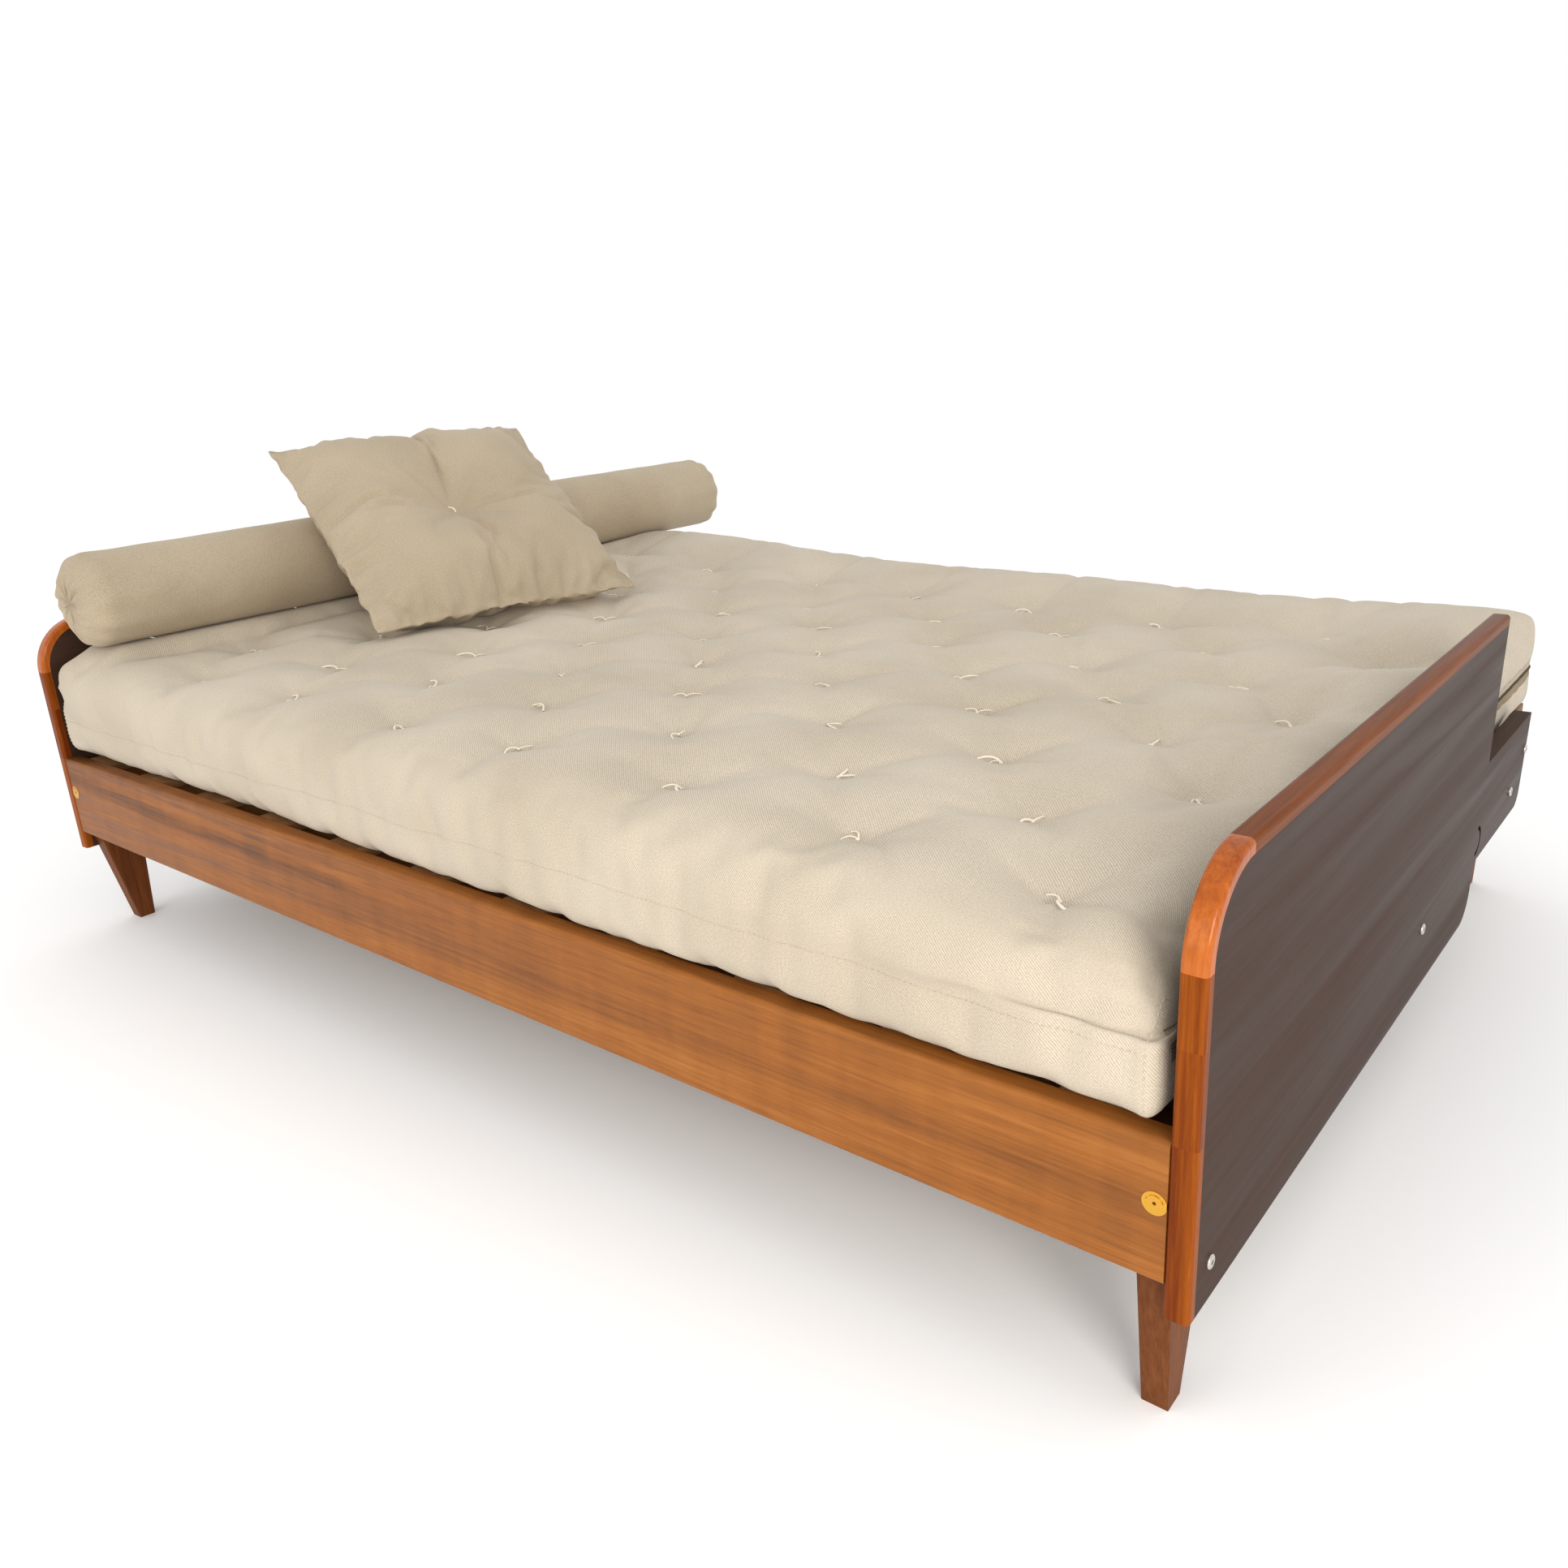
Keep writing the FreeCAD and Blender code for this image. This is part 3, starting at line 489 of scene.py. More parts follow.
# ---- materials ----
def cotton_twill(name, light, dark, rib=TWILL_RIB, rib_strength=0.18):
    """Cotton twill: matt and slightly fuzzy, with fine diagonal ribs. The real ribs are about
    1.5 mm apart along a thread; they are drawn coarser, at 3.2 mm, so that they show."""
    made, tree = blank_material(name)
    cloth = add(tree, "ShaderNodeAttribute", attribute_name="cloth").outputs["Vector"]
    rib_wander = 2.0
    slub_strength = 0.55
    patch_strength = 0.5
    parts = add(tree, "ShaderNodeSeparateXYZ", {"Vector": cloth})
    across = add(tree, MATH, {0: parts.outputs[0], 1: parts.outputs[1]}, operation="ADD")
    diagonal = add(tree, MATH, {0: across, 1: parts.outputs[2]}, operation="ADD")
    turns = add(tree, MATH, {0: diagonal, 1: 2 * math.pi / rib}, operation="MULTIPLY")
    wobble = add(tree, CHANCE, {"Vector": cloth, "Scale": 30.0, "Detail": 1.0})
    bent = add(tree, MATH, {0: wobble.outputs[0], 1: rib_wander, 2: turns}, operation="MULTIPLY_ADD")
    ribs = add(tree, MATH, {0: bent}, operation="SINE")
    threads = add(tree, CHANCE, {"Vector": cloth, "Scale": 0.5 / MM, "Detail": 1.0, "Roughness": 0.5})
    slubs = add(tree, MATH, {0: threads.outputs[0], 1: slub_strength}, operation="MULTIPLY")
    weave = add(tree, MATH, {0: ribs, 1: rib_strength, 2: slubs}, operation="MULTIPLY_ADD")
    patches = add(tree, CHANCE, {"Vector": cloth, "Scale": 5.0, "Detail": 3.0})
    tone = add(tree, MATH, {0: patches.outputs[0], 1: patch_strength, 2: weave}, operation="MULTIPLY_ADD")
    colour = ramp(tree, tone, [(0.12, dark), (0.88, light)])
    height = add(tree, "ShaderNodeBump", {"Height": weave, "Strength": 0.5, "Distance": 0.6 * MM})
    return with_shader(
        made, {"Base Color": colour, "Roughness": 0.95, "Normal": height, "Sheen Weight": 0.12,
         "Sheen Roughness": 0.5, "Specular IOR Level": 0.15},
    )


def add_painted_shade(tree, grain, place, broad, painted_shade):
    """Paint shade onto the grain: darken it along a sloping, wavy band, given as (x, z, slope, half width).
    """
    x, z, slope, half = painted_shade
    fade_from, fade_to = PAINTED_SHADE_FADE
    parts = add(tree, "ShaderNodeSeparateXYZ", {"Vector": place})
    from_x = add(tree, MATH, {0: parts.outputs[0], 1: x}, operation="SUBTRACT")
    sunk = add(tree, MATH, {0: from_x, 1: -slope, 2: parts.outputs[2]}, operation="MULTIPLY_ADD")
    waved = add(tree, MATH, {0: broad.outputs[0], 1: PAINTED_SHADE_WAVE, 2: sunk}, operation="MULTIPLY_ADD")
    off = add(tree, MATH, {0: waved, 1: z + PAINTED_SHADE_WAVE / 2}, operation="SUBTRACT")
    near = add(tree, MATH, {0: off}, operation="ABSOLUTE")
    band = add(
        tree, RANGE,
        {"Value": near, "From Min": 0.0, "From Max": half, "To Min": PAINTED_SHADE_DEPTH, "To Max": 0.0},
        interpolation_type="SMOOTHSTEP",
    )
    fade = add(
        tree, RANGE, {"Value": parts.outputs[0], "From Min": x + fade_from, "From Max": x + fade_to,
         "To Min": 1.0, "To Max": 0.0}, interpolation_type="SMOOTHSTEP",
    )
    depth = add(tree, MATH, {0: band.outputs[0], 1: fade.outputs[0]}, operation="MULTIPLY")
    return add(tree, MATH, {0: grain, 1: depth}, operation="SUBTRACT")


def lacquered_wood(name, stops, along, grain_width=2.2 * MM, gloss=0.25, seed=0.0, coat=0.5,
                   specular=0.35, figure=0.0, painted_shade=None):
    """Solid wood under clear lacquer. along is the grain's direction (0 X, 1 Y, 2 Z); figure is
    the strength of the ripple across the grain; the last argument is a band of painted shade, given as (x,
    z, slope, half width)."""
    made, tree = blank_material(name)
    place = add(tree, "ShaderNodeTexCoord").outputs["Object"]
    stretch = [1.0, 1.0, 1.0]
    stretch[along] = GRAIN_STRETCH
    flow = add(
        tree, "ShaderNodeMapping", {"Vector": place, "Scale": stretch,
         "Location": (seed, seed * 1.7, seed * 0.6)},
    )
    broad = add(tree, CHANCE, {"Vector": flow, "Scale": 24.0, "Detail": 4.0, "Distortion": 0.6})
    fine = add(
        tree, CHANCE, {"Vector": flow, "Scale": 0.5 / grain_width, "Detail": 6.0, "Roughness": 0.7,
         "Distortion": 0.2},
    )
    pores = add(tree, CHANCE, {"Vector": flow, "Scale": 2.2 / grain_width, "Detail": 2.0})
    mixed = add(tree, MATH, {0: fine.outputs[0], 1: 0.5}, operation="MULTIPLY")
    grain = add(tree, MATH, {0: broad.outputs[0], 1: 0.5, 2: mixed}, operation="MULTIPLY_ADD")
    if figure:
        ripple_stretch = [6.0, 6.0, 6.0]
        ripple_stretch[along] = 34.0
        across = add(tree, "ShaderNodeMapping", {"Vector": place, "Scale": ripple_stretch})
        ripple = add(tree, CHANCE, {"Vector": across, "Scale": 1.0, "Detail": 2.0})
        centred = add(tree, MATH, {0: ripple.outputs[0], 1: 0.5}, operation="SUBTRACT")
        grain = add(tree, MATH, {0: centred, 1: figure, 2: grain}, operation="MULTIPLY_ADD")
    # painted shade: the band under the rail's top edge is darkened into the wood's colour
    if painted_shade:
        grain = add_painted_shade(tree, grain, place, broad, painted_shade)
    colour = ramp(tree, grain, stops)
    rough = add(
        tree, RANGE, {"Value": broad.outputs[0], "From Min": 0.3, "From Max": 0.7, "To Min": gloss * 0.8,
         "To Max": gloss * 1.3},
    )
    bump = add(
        tree, "ShaderNodeBump", {"Height": pores.outputs[0], "Strength": 0.15, "Distance": 0.3 * MM},
    )
    return with_shader(
        made, {"Base Color": colour, "Roughness": rough.outputs[0], "Normal": bump, "Coat Weight": coat,
         "Coat Roughness": 0.14, "Specular IOR Level": specular},
    )


def plated_metal(name, tint, roughness, grain=0.4 * MM):
    """Plated or polished metal with faint handling marks."""
    made, tree = blank_material(name)
    place = add(tree, "ShaderNodeTexCoord")
    marks = add(tree, CHANCE, {"Vector": place.outputs["Object"], "Scale": 0.2 / grain, "Detail": 3.0})
    rough = add(
        tree, RANGE, {"Value": marks.outputs[0], "To Min": roughness * 0.7, "To Max": roughness * 1.4},
    )
    bump = add(tree, "ShaderNodeBump", {"Height": marks.outputs[0], "Strength": 0.1, "Distance": grain})
    return with_shader(
        made,
        {"Base Color": linear(tint), "Metallic": 1.0, "Roughness": rough.outputs[0], "Normal": bump},
    )


def moulded_nylon(name, tint, dark):
    """Zip coil: nylon with a slight sheen and uneven dye."""
    made, tree = blank_material(name)
    place = add(tree, "ShaderNodeTexCoord")
    dye = add(tree, CHANCE, {"Vector": place.outputs["Object"], "Scale": 0.2 / MM, "Detail": 2.0})
    colour = ramp(tree, dye, [(0.3, dark), (0.7, tint)])
    return with_shader(made, {"Base Color": colour, "Roughness": 0.45})


def matt_paint(name, tint):
    made, _ = blank_material(name)
    return with_shader(made, {"Base Color": linear(tint), "Roughness": 0.9})


twill = cotton_twill("beige_cotton_twill", "#d5cab9", "#9f917a")
# painted shade: a darker copy of the mattress's twill, used on the bolster, the pillow and the zip flap
painted_shade_twill = cotton_twill("beige_cotton_twill_painted_shade", "#c6b8a0", "#918067")
tie_thread = cotton_twill("tufting_thread", "#f6efe2", "#dccfb8", rib_strength=0.1)
seam_thread = cotton_twill("seam_thread", "#ddd0ba", "#b3a284", rib_strength=0.1)
zip_tape = cotton_twill("zip_tape_woven", "#9a8768", "#6d5c43", rib=2 * MM)
zip_coil = moulded_nylon("zip_coil_nylon", "#5a4a38", "#33291f")
RAIL_STOPS = [(0.24, "#50341f"), (0.40, "#7a481d"), (0.55, "#935822"), (0.72, "#a96d33")]
LIP_STOPS = [(0.28, "#3c1603"), (0.44, "#6c2e07"), (0.58, "#8c460d"), (0.75, "#b4651c")]
# painted shade: the lipping's top is a darker copy of the same cherry as its front
TOP_PAINTED_SHADE_STOPS = [(0.28, "#3c1d0b"), (0.5, "#653414"), (0.72, "#85491e")]
# painted highlight: the lipping's curved corner is a lighter, more orange copy of its wood
CORNER_PAINTED_HIGHLIGHT_STOPS = [(0.28, "#7c360c"), (0.5, "#a55317"), (0.72, "#c46f2a")]
BOARD_STOPS = [(0.28, "#30201a"), (0.5, "#3c2a21"), (0.72, "#483329")]
LEG_STOPS = [(0.28, "#3c1e0e"), (0.5, "#68391a"), (0.72, "#84502b")]
# painted shade along the rail's top edge at the head end, standing in for the mattress's shade
rail_painted_shade = (rail_low.x, rail_high.z - PAINTED_SHADE_DROP, PAINTED_SHADE_SLOPE, PAINTED_SHADE_HALF)
rail_wood = lacquered_wood(
    "rail_cherry_lacquered", RAIL_STOPS, 0, gloss=0.38, coat=0.06, specular=0.15, figure=0.14,
    painted_shade=rail_painted_shade,
)
lip_woods = {
    # painted shade on the lipping's top: its colours are darker than the front's
    "top": lacquered_wood(
        "lipping_cherry_top_painted_shade", TOP_PAINTED_SHADE_STOPS, 1, gloss=0.3, specular=0.05, seed=0.3, coat=0.0,
    ),
    # painted highlight on the lipping's corner: its colours are lighter than the front's
    "corner": lacquered_wood(
        "lipping_cherry_corner_painted_highlight", CORNER_PAINTED_HIGHLIGHT_STOPS, 2, gloss=0.22, specular=0.1, seed=1.1, coat=0.3,
    ),
}
for number, place in enumerate(("upper", "middle", "lower")):
    lip_woods["front_" + place] = lacquered_wood(
        "lipping_cherry_front_" + place, LIP_STOPS, 2, gloss=0.3, specular=0.06,
        seed=2.3 + 1.5 * number, coat=0.03,
    )
board = lacquered_wood("board_dark_lacquer", BOARD_STOPS, 1, gloss=0.4, coat=0.0, specular=0.05)
leg_wood = lacquered_wood("leg_cherry_satin", LEG_STOPS, 2, gloss=0.45, coat=0.0, specular=0.08)
SLAT_STOPS = [(0.30, "#5a3a1e"), (0.5, "#7a5530"), (0.7, "#8f6a42")]
slat_wood_x = lacquered_wood("slat_wood_lengthwise", SLAT_STOPS, 0, gloss=0.6, coat=0.0)
slat_wood_y = lacquered_wood("slat_wood_crosswise", SLAT_STOPS, 1, gloss=0.6, coat=0.0)
FRAME_STOPS = [(0.30, "#4d2d16"), (0.5, "#714620"), (0.7, "#8a5c33")]
frame_wood_x = lacquered_wood("frame_wood_lengthwise", FRAME_STOPS, 0, gloss=0.5, coat=0.1)
frame_wood_y = lacquered_wood("frame_wood_crosswise", FRAME_STOPS, 1, gloss=0.5, coat=0.1)
nickel = plated_metal("nickel_plate", "#c9c4ba", 0.22)
brass = plated_metal("polished_brass", "#d9a441", 0.28)
zinc = plated_metal("zinc_plated_steel", "#a9adb0", 0.38)

FINISHES = [
    (zinc, ("seat_slat_screws", "back_slat_screws", "beam_barrel_nuts", "pivot_", "stop_pins",
            "rail_screws", "rail_brackets", "fold_leg_bolts", "fold_leg_nuts")),
    (leg_wood, ("front_leg_", "rear_leg_", "fold_leg_left", "fold_leg_right")),
    (frame_wood_x, ("front_ledger", "seat_beam", "seat_rear_rail", "back_rail")),
    (frame_wood_y, ("back_stile_", "back_cleat_")), (slat_wood_x, ("back_slat_",)),
    (slat_wood_y, ("seat_slat_",)), (board, ("end_panel_",)), (rail_wood, ("front_rail",)),
    (nickel, ("panel_bolts",)), (brass, ("rail_screw_covers",)),
]


def finish_for(node):
    if node.startswith("lip_"):
        return lip_woods[node.split("_", 2)[2]]
    for material, starts in FINISHES:
        if node.startswith(starts):
            return material
    return twill


for name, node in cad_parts.items():
    for material_slot in node.material_slots:
        material_slot.material = finish_for(name)


# ---- mattress ----
def tuft_places():
    """The tufts' staggered grid over the top of the mattress."""
    wander = random.Random(4)
    places = []
    column = 0
    x = mattress_high.x - TUFT_FIRST_X
    while x > mattress_low.x + TUFT_FIRST_X / 2:
        y = mattress_low.y + TUFT_FRONT_MARGIN + (TUFT_PITCH_Y / 2 if column % 2 else 0)
        while y < mattress_high.y - REAR_TUFT_MARGIN:
            dx = wander.uniform(-TUFT_WANDER, TUFT_WANDER)
            dy = wander.uniform(-TUFT_WANDER, TUFT_WANDER)
            places.append(Vector((x + dx, y + dy, 0)))
            y += TUFT_PITCH_Y
        x -= TUFT_PITCH_X
        column += 1
    return places


def box_grid(low, high, step):
    """A closed box of square faces about one step wide, as points and faces."""
    counts = [max(2, round((high[i] - low[i]) / step)) for i in range(3)]
    index = {}
    points, faces = [], []

    def point(key):
        if key not in index:
            index[key] = len(points)
            points.append(Vector([low[i] + (high[i] - low[i]) * key[i] / counts[i] for i in range(3)]))
        return index[key]

    for axis in range(3):
        a, b = (axis + 1) % 3, (axis + 2) % 3
        for end in (0, counts[axis]):
            for i in range(counts[a]):
                for j in range(counts[b]):
                    corners = []
                    for di, dj in ((0, 0), (1, 0), (1, 1), (0, 1)):
                        key = [0, 0, 0]
                        key[axis], key[a], key[b] = end, i + di, j + dj
                        corners.append(point(tuple(key)))
                    faces.append(corners if end else corners[::-1])
    return points, faces


def mattress_form(point, low, high):
    """Round a box point to the mattress's form: a wide roll along the top edge, a tighter one
    below, corners squarer than the edges, and a slightly uneven front."""
    upper = point.z > (low.z + high.z) / 2
    to_front = 1 - smooth_step(*FRONT_ROLL_FADE, point.y - low.y)
    from_head = HEAD_ROLL_SHARE + (1 - HEAD_ROLL_SHARE) * smooth_step(*HEAD_ROLL_X, point.x)
    top_radius = TOP_EDGE_R + (FRONT_EDGE_R - TOP_EDGE_R) * to_front * from_head
    radius = top_radius if upper else BOTTOM_EDGE_R
    inner = Vector([min(max(point[i], low[i] + radius), high[i] - radius) for i in range(3)])
    out = (point - inner) / radius
    square = FRONT_SQUARENESS if out.y < 0 else REAR_SQUARENESS
    level = (abs(out.x) ** square + abs(out.y) ** square) ** (1 / square)
    reach = math.hypot(level, out.z)
    place = inner + out * (radius / reach) if reach > 1e-9 else point.copy()
    front = 1 - smooth_step(0, HEM_DEPTH, place.y - low.y)
    long_wave = waver(place.x * LONG_WAVE_CELLS, 5.1, 0.3)
    wave = long_wave + SHORT_WAVE_SHARE * waver(place.x * SHORT_WAVE_CELLS, 2.1, 0.3)
    lower = 1 - smooth_step(*HEM_BAND, (place.z - low.z) / (high.z - low.z))
    place.y -= front * lower * (wave + HEM_BULGE) * HEM_SAG
    to_head = 1 - smooth_step(*HEM_LIFT_X, place.x)
    place.z += front * lower * ((wave + HEM_RAISE) * HEM_SAG + to_head * HEM_LIFT)
    near_seam = math.exp(-((place.z - low.z - SEAM_HEIGHT) / PUCKER_REACH) ** 2)
    pucker = waver(place.x * PUCKER_CELLS[0], 0.7, place.z * PUCKER_CELLS[1])
    place.y += front * near_seam * PUCKER * pucker
    return place


def raise_corner_seams(piece):
    """A raised seam down the front just inside each corner, puckered on its inner side."""
    seam_x = mattress_high.x - CORNER_SEAM_INSET
    for vertex in piece.data.vertices:
        x, y, z = vertex.co
        if y > mattress_low.y + FRONT_EDGE_R or z > mattress_low.z + CORNER_SEAM_HEIGHT:
            continue
        off = abs(x) - seam_x
        ridge = math.exp(-(off / CORNER_SEAM_HALF) ** 2)
        inner = math.exp(-((off + CORNER_PUCKER_HALF) / CORNER_PUCKER_HALF) ** 2) * (1 - ridge)
        pucker = waver(x * CORNER_CELLS[0], 3.0, z * CORNER_CELLS[1])
        vertex.co.y -= CORNER_SEAM_RISE * ridge + CORNER_PUCKER * inner * pucker


def crease_at_tufts(piece, tufts):
    """Sharp, slightly curved creases that run out from each tie and fade."""
    chance = random.Random(9)
    creases = []
    for tuft in tufts:
        first = chance.uniform(-0.5, 0.5)
        opposite = first + math.pi * chance.uniform(0.85, 1.15)
        between = first + chance.uniform(1.1, 2.0)
        for turn in (first, opposite, between):
            reach = CREASE_REACH * chance.uniform(0.5, CREASE_LONGEST)
            bend = chance.uniform(-0.35, 0.35)
            depth = chance.uniform(0.5, 1.0)
            creases.append((tuft, turn, reach, bend, depth))
    nearby = KDTree(len(creases))
    for number, crease in enumerate(creases):
        nearby.insert(crease[0], number)
    nearby.balance()
    level_of_top = (mattress_low.z + mattress_high.z) / 2
    for vertex in piece.data.vertices:
        if vertex.co.z < level_of_top:
            continue
        level = Vector((vertex.co.x, vertex.co.y, 0))
        drop = 0.0
        for _, number, _ in nearby.find_range(level, CREASE_REACH * CREASE_LONGEST):
            tuft, turn, reach, bend, depth = creases[number]
            out = level - tuft
            along = out.x * math.cos(turn) + out.y * math.sin(turn)
            if not 0 < along < reach:
                continue
            off = out.y * math.cos(turn) - out.x * math.sin(turn) - bend * along * along / reach
            fade = (1 - along / reach) * smooth_step(0, CREASE_START, along)
            drop = max(drop, depth * fade * math.exp(-abs(off) / CREASE_HALF * 2))
        vertex.co.z -= CREASE_DEPTH * drop


def press_under_bolster(piece):
    """Shape the top to the bolster that lies on it."""
    axis_x = (bolster_low.x + bolster_high.x) / 2
    radius = (bolster_high.z - bolster_low.z) / 2
    rest = bolster_low.z + BOLSTER_FLAT - BOLSTER_SINK
    for vertex in piece.data.vertices:
        x, y, z = vertex.co
        if z < mattress_high.z - PRESS_LAYER:
            continue
        off = abs(x - axis_x)
        if off > radius:
            continue
        underside = bolster_high.z - radius - math.sqrt(radius ** 2 - off ** 2)
        target = max(rest, underside - BOLSTER_SINK)
        from_front = smooth_step(*PRESS_FRONT_FADE, y - mattress_low.y)
        from_rear = smooth_step(*PRESS_REAR_FADE, mattress_high.y - y)
        near = 1 - smooth_step(*PRESS_SIDE_FADE, off)
        near *= from_front * from_rear
        vertex.co.z = min(z + (target - z) * near, target)


def level_filling(point, low):
    """Raise or lower a point of the top with the filling under it."""
    to_rear = smooth_step(*REAR_FADE, point.y - low.y)
    packed = HEAD_RISE * (1 - smooth_step(*HEAD_RISE_X, point.x))
    point.z += packed * to_rear * smooth_step(*HEAD_EDGE_X, point.x)
    point.z -= FOOT_FALL * smooth_step(*FOOT_FALL_X, point.x)
    sagging = REAR_SAG * to_rear * smooth_step(*REAR_SAG_FROM_X, point.x)
    point.z -= sagging * (1 - smooth_step(*REAR_SAG_TO_X, point.x))


def make_mattress():
    """The swollen, tufted cover, and the places of its tufts."""
    draw_in = Vector((1, 1, 0)) * COVER_SPARE_ROOM
    low = mattress_low + draw_in
    high = mattress_high - draw_in
    low.y = mattress_low.y - FRONT_OVERHANG
    high.z -= CROWN
    flat, faces = box_grid(low, high, MATTRESS_STEP)
    points = [mattress_form(p, low, high) for p in flat]
    tufts = tuft_places()
    held, drawn = [], {}
    for number, p in enumerate(points):
        level = Vector((p.x, p.y, 0))
        on_top = p.z > high.z - TOP_EDGE_R / 2
        if on_top:
            near = min((level - t).length for t in tufts)
            p.z -= TUFT_HOLLOW * math.exp(-(near / TUFT_HOLLOW_REACH) ** 2)
        if p.z > (low.z + high.z) / 2:
            level_filling(p, low)
        seam_wave = SEAM_WAVE * noise.noise(p * SEAM_CELLS)
        if on_top and near < TUFT_HOLD:
            drawn[number] = p - Vector((0, 0, TUFT_DRAW))
        elif p.z < low.z + UNDERSIDE_BAND:
            held.append(number)
        elif flat[number].z == high.z and flat[number].y > high.y - TOP_EDGE_R / 2:
            held.append(number)
        elif abs(p.z - low.z - SEAM_HEIGHT - seam_wave) < SEAM_HOLD:
            held.append(number)
    piece = mesh_piece("mattress", points, faces, twill)
    keep_cloth_places(piece, flat)
    swell(piece, held, drawn, MATTRESS_PRESSURE, MATTRESS_SWELL, spare=COVER_SLACK)
    side = panel_face - PANEL_CLEARANCE
    for vertex in piece.data.vertices:
        vertex.co.x = min(max(vertex.co.x, -side), side)
        vertex.co.z = max(vertex.co.z, mattress_low.z)
    subdivide(piece)
    raise_corner_seams(piece)
    crease_at_tufts(piece, tufts)
    press_under_bolster(piece)
    return piece, tufts


def surface_of(piece):
    return BVHTree.FromObject(piece, bpy.context.evaluated_depsgraph_get())


def seam_ring(surface, height, spacing, lift):
    """Points on the mattress's four sides at a height above its underside, as one loop."""
    middle = (mattress_low + mattress_high) / 2
    half = (mattress_high - mattress_low) / 2
    corners = [(-1, -1), (1, -1), (1, 1), (-1, 1)]
    turn_power = 5
    ring = []
    for (ax, ay), (bx, by) in zip(corners, corners[1:] + corners[:1]):
        start = Vector((ax * half.x, ay * half.y, 0))
        end = Vector((bx * half.x, by * half.y, 0))
        count = int((end - start).length / spacing)
        for i in range(count):
            along = start.lerp(end, i / count)
            out_x = along.x ** turn_power / half.x ** turn_power
            out_y = along.y ** turn_power / half.y ** turn_power
            outward = Vector((out_x, out_y, 0)).normalized()
            wave = SEAM_WAVE * waver(along.x * SEAM_CELLS, along.y * SEAM_CELLS, 1.7)
            z = mattress_low.z + height + wave
            origin = Vector((middle.x + along.x, middle.y + along.y, z)) + outward * RAY_START
            hit, normal, _, _ = surface.ray_cast(origin, -outward)
            if hit:
                ring.append(hit + normal * lift)
    return ring


def blend_with_back(piece):
    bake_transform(piece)


mattress, tufts = make_mattress()
mattress_surface = surface_of(mattress)

tie_spots = []
for tuft in tufts:
    hit, _, _, _ = mattress_surface.ray_cast(Vector((tuft.x, tuft.y, 1.0)), Vector((0, 0, -1)))
    tie_spots.append(hit + Vector((0, 0, TIE_LIFT)))
ties = mesh_piece("mattress_ties", tie_spots, [], tie_thread)
grow(ties, tie_tree(tie_thread), Length=TIE_LENGTH, Thread=TIE_THREAD_R, Seed=11)
keep_own_places(ties)

ring = seam_ring(mattress_surface, SEAM_HEIGHT, 12 * MM, 0.4 * MM)
loop = [(i, (i + 1) % len(ring)) for i in range(len(ring))]
mattress_stitches = mesh_piece("mattress_seam_stitches", ring, [], seam_thread, edges=loop)
stitch_row = row_tree("seam_stitches", seam_thread, STITCH_PITCH, STITCH_LENGTH, STITCH_WIDTH, STITCH_WIDTH)
grow(mattress_stitches, stitch_row)
keep_own_places(mattress_stitches)


def corner_seam(side):
    """Points down the front of the mattress just inside one corner."""
    x = side * (mattress_high.x - CORNER_SEAM_INSET)
    line = []
    z = mattress_low.z + SEAM_HEIGHT / 4
    while z < mattress_low.z + CORNER_SEAM_HEIGHT:
        origin = Vector((x, mattress_low.y - RAY_START, z))
        hit, normal, _, _ = mattress_surface.ray_cast(origin, Vector((0, 1, 0)))
        if hit:
            line.append(hit + normal * 0.5 * MM)
        z += MATTRESS_STEP / 2
    return line


corner_seams = []
for name, side in (("left", -1), ("right", 1)):
    line = corner_seam(side)
    seam = mesh_piece("mattress_corner_seam_" + name, line, [], seam_thread, edges=chain(line))
    corner_row = row_tree(
        "corner_stitches_" + name, seam_thread, STITCH_PITCH, STITCH_LENGTH, STITCH_WIDTH, STITCH_WIDTH,
    )
    grow(seam, corner_row)
    keep_own_places(seam)
    corner_seams.append(seam)


# ---- zip along the foot end of the mattress ----
def foot_end_line(height, lift):
    """Points up the foot end's side at one height, from front to rear."""
    line = []
    y = mattress_low.y + ZIP_FRONT_MARGIN
    while y < mattress_high.y - ZIP_FRONT_MARGIN / 2:
        z = mattress_low.z + SEAM_HEIGHT + height
        origin = Vector((mattress_high.x + RAY_START, y, z))
        hit, _, _, _ = mattress_surface.ray_cast(origin, Vector((-1, 0, 0)))
        x = min(hit.x + lift, panel_face - PANEL_CLEARANCE / 3)
        line.append(Vector((x, y, z)))
        y += MATTRESS_STEP / 2
    return line


def strip(name, rows, material):
    """A ribbon between lines of points, listed from the lowest upwards."""
    count = len(rows[0])
    points = [p for row in rows for p in row]
    faces = []
    for r in range(len(rows) - 1):
        for i in range(count - 1):
            a = r * count + i
            faces.append((a, a + 1, a + 1 + count, a + count))
    piece = mesh_piece(name, points, faces, material)
    keep_cloth_places(piece, [(0, p.y, p.z) for p in points])
    return piece


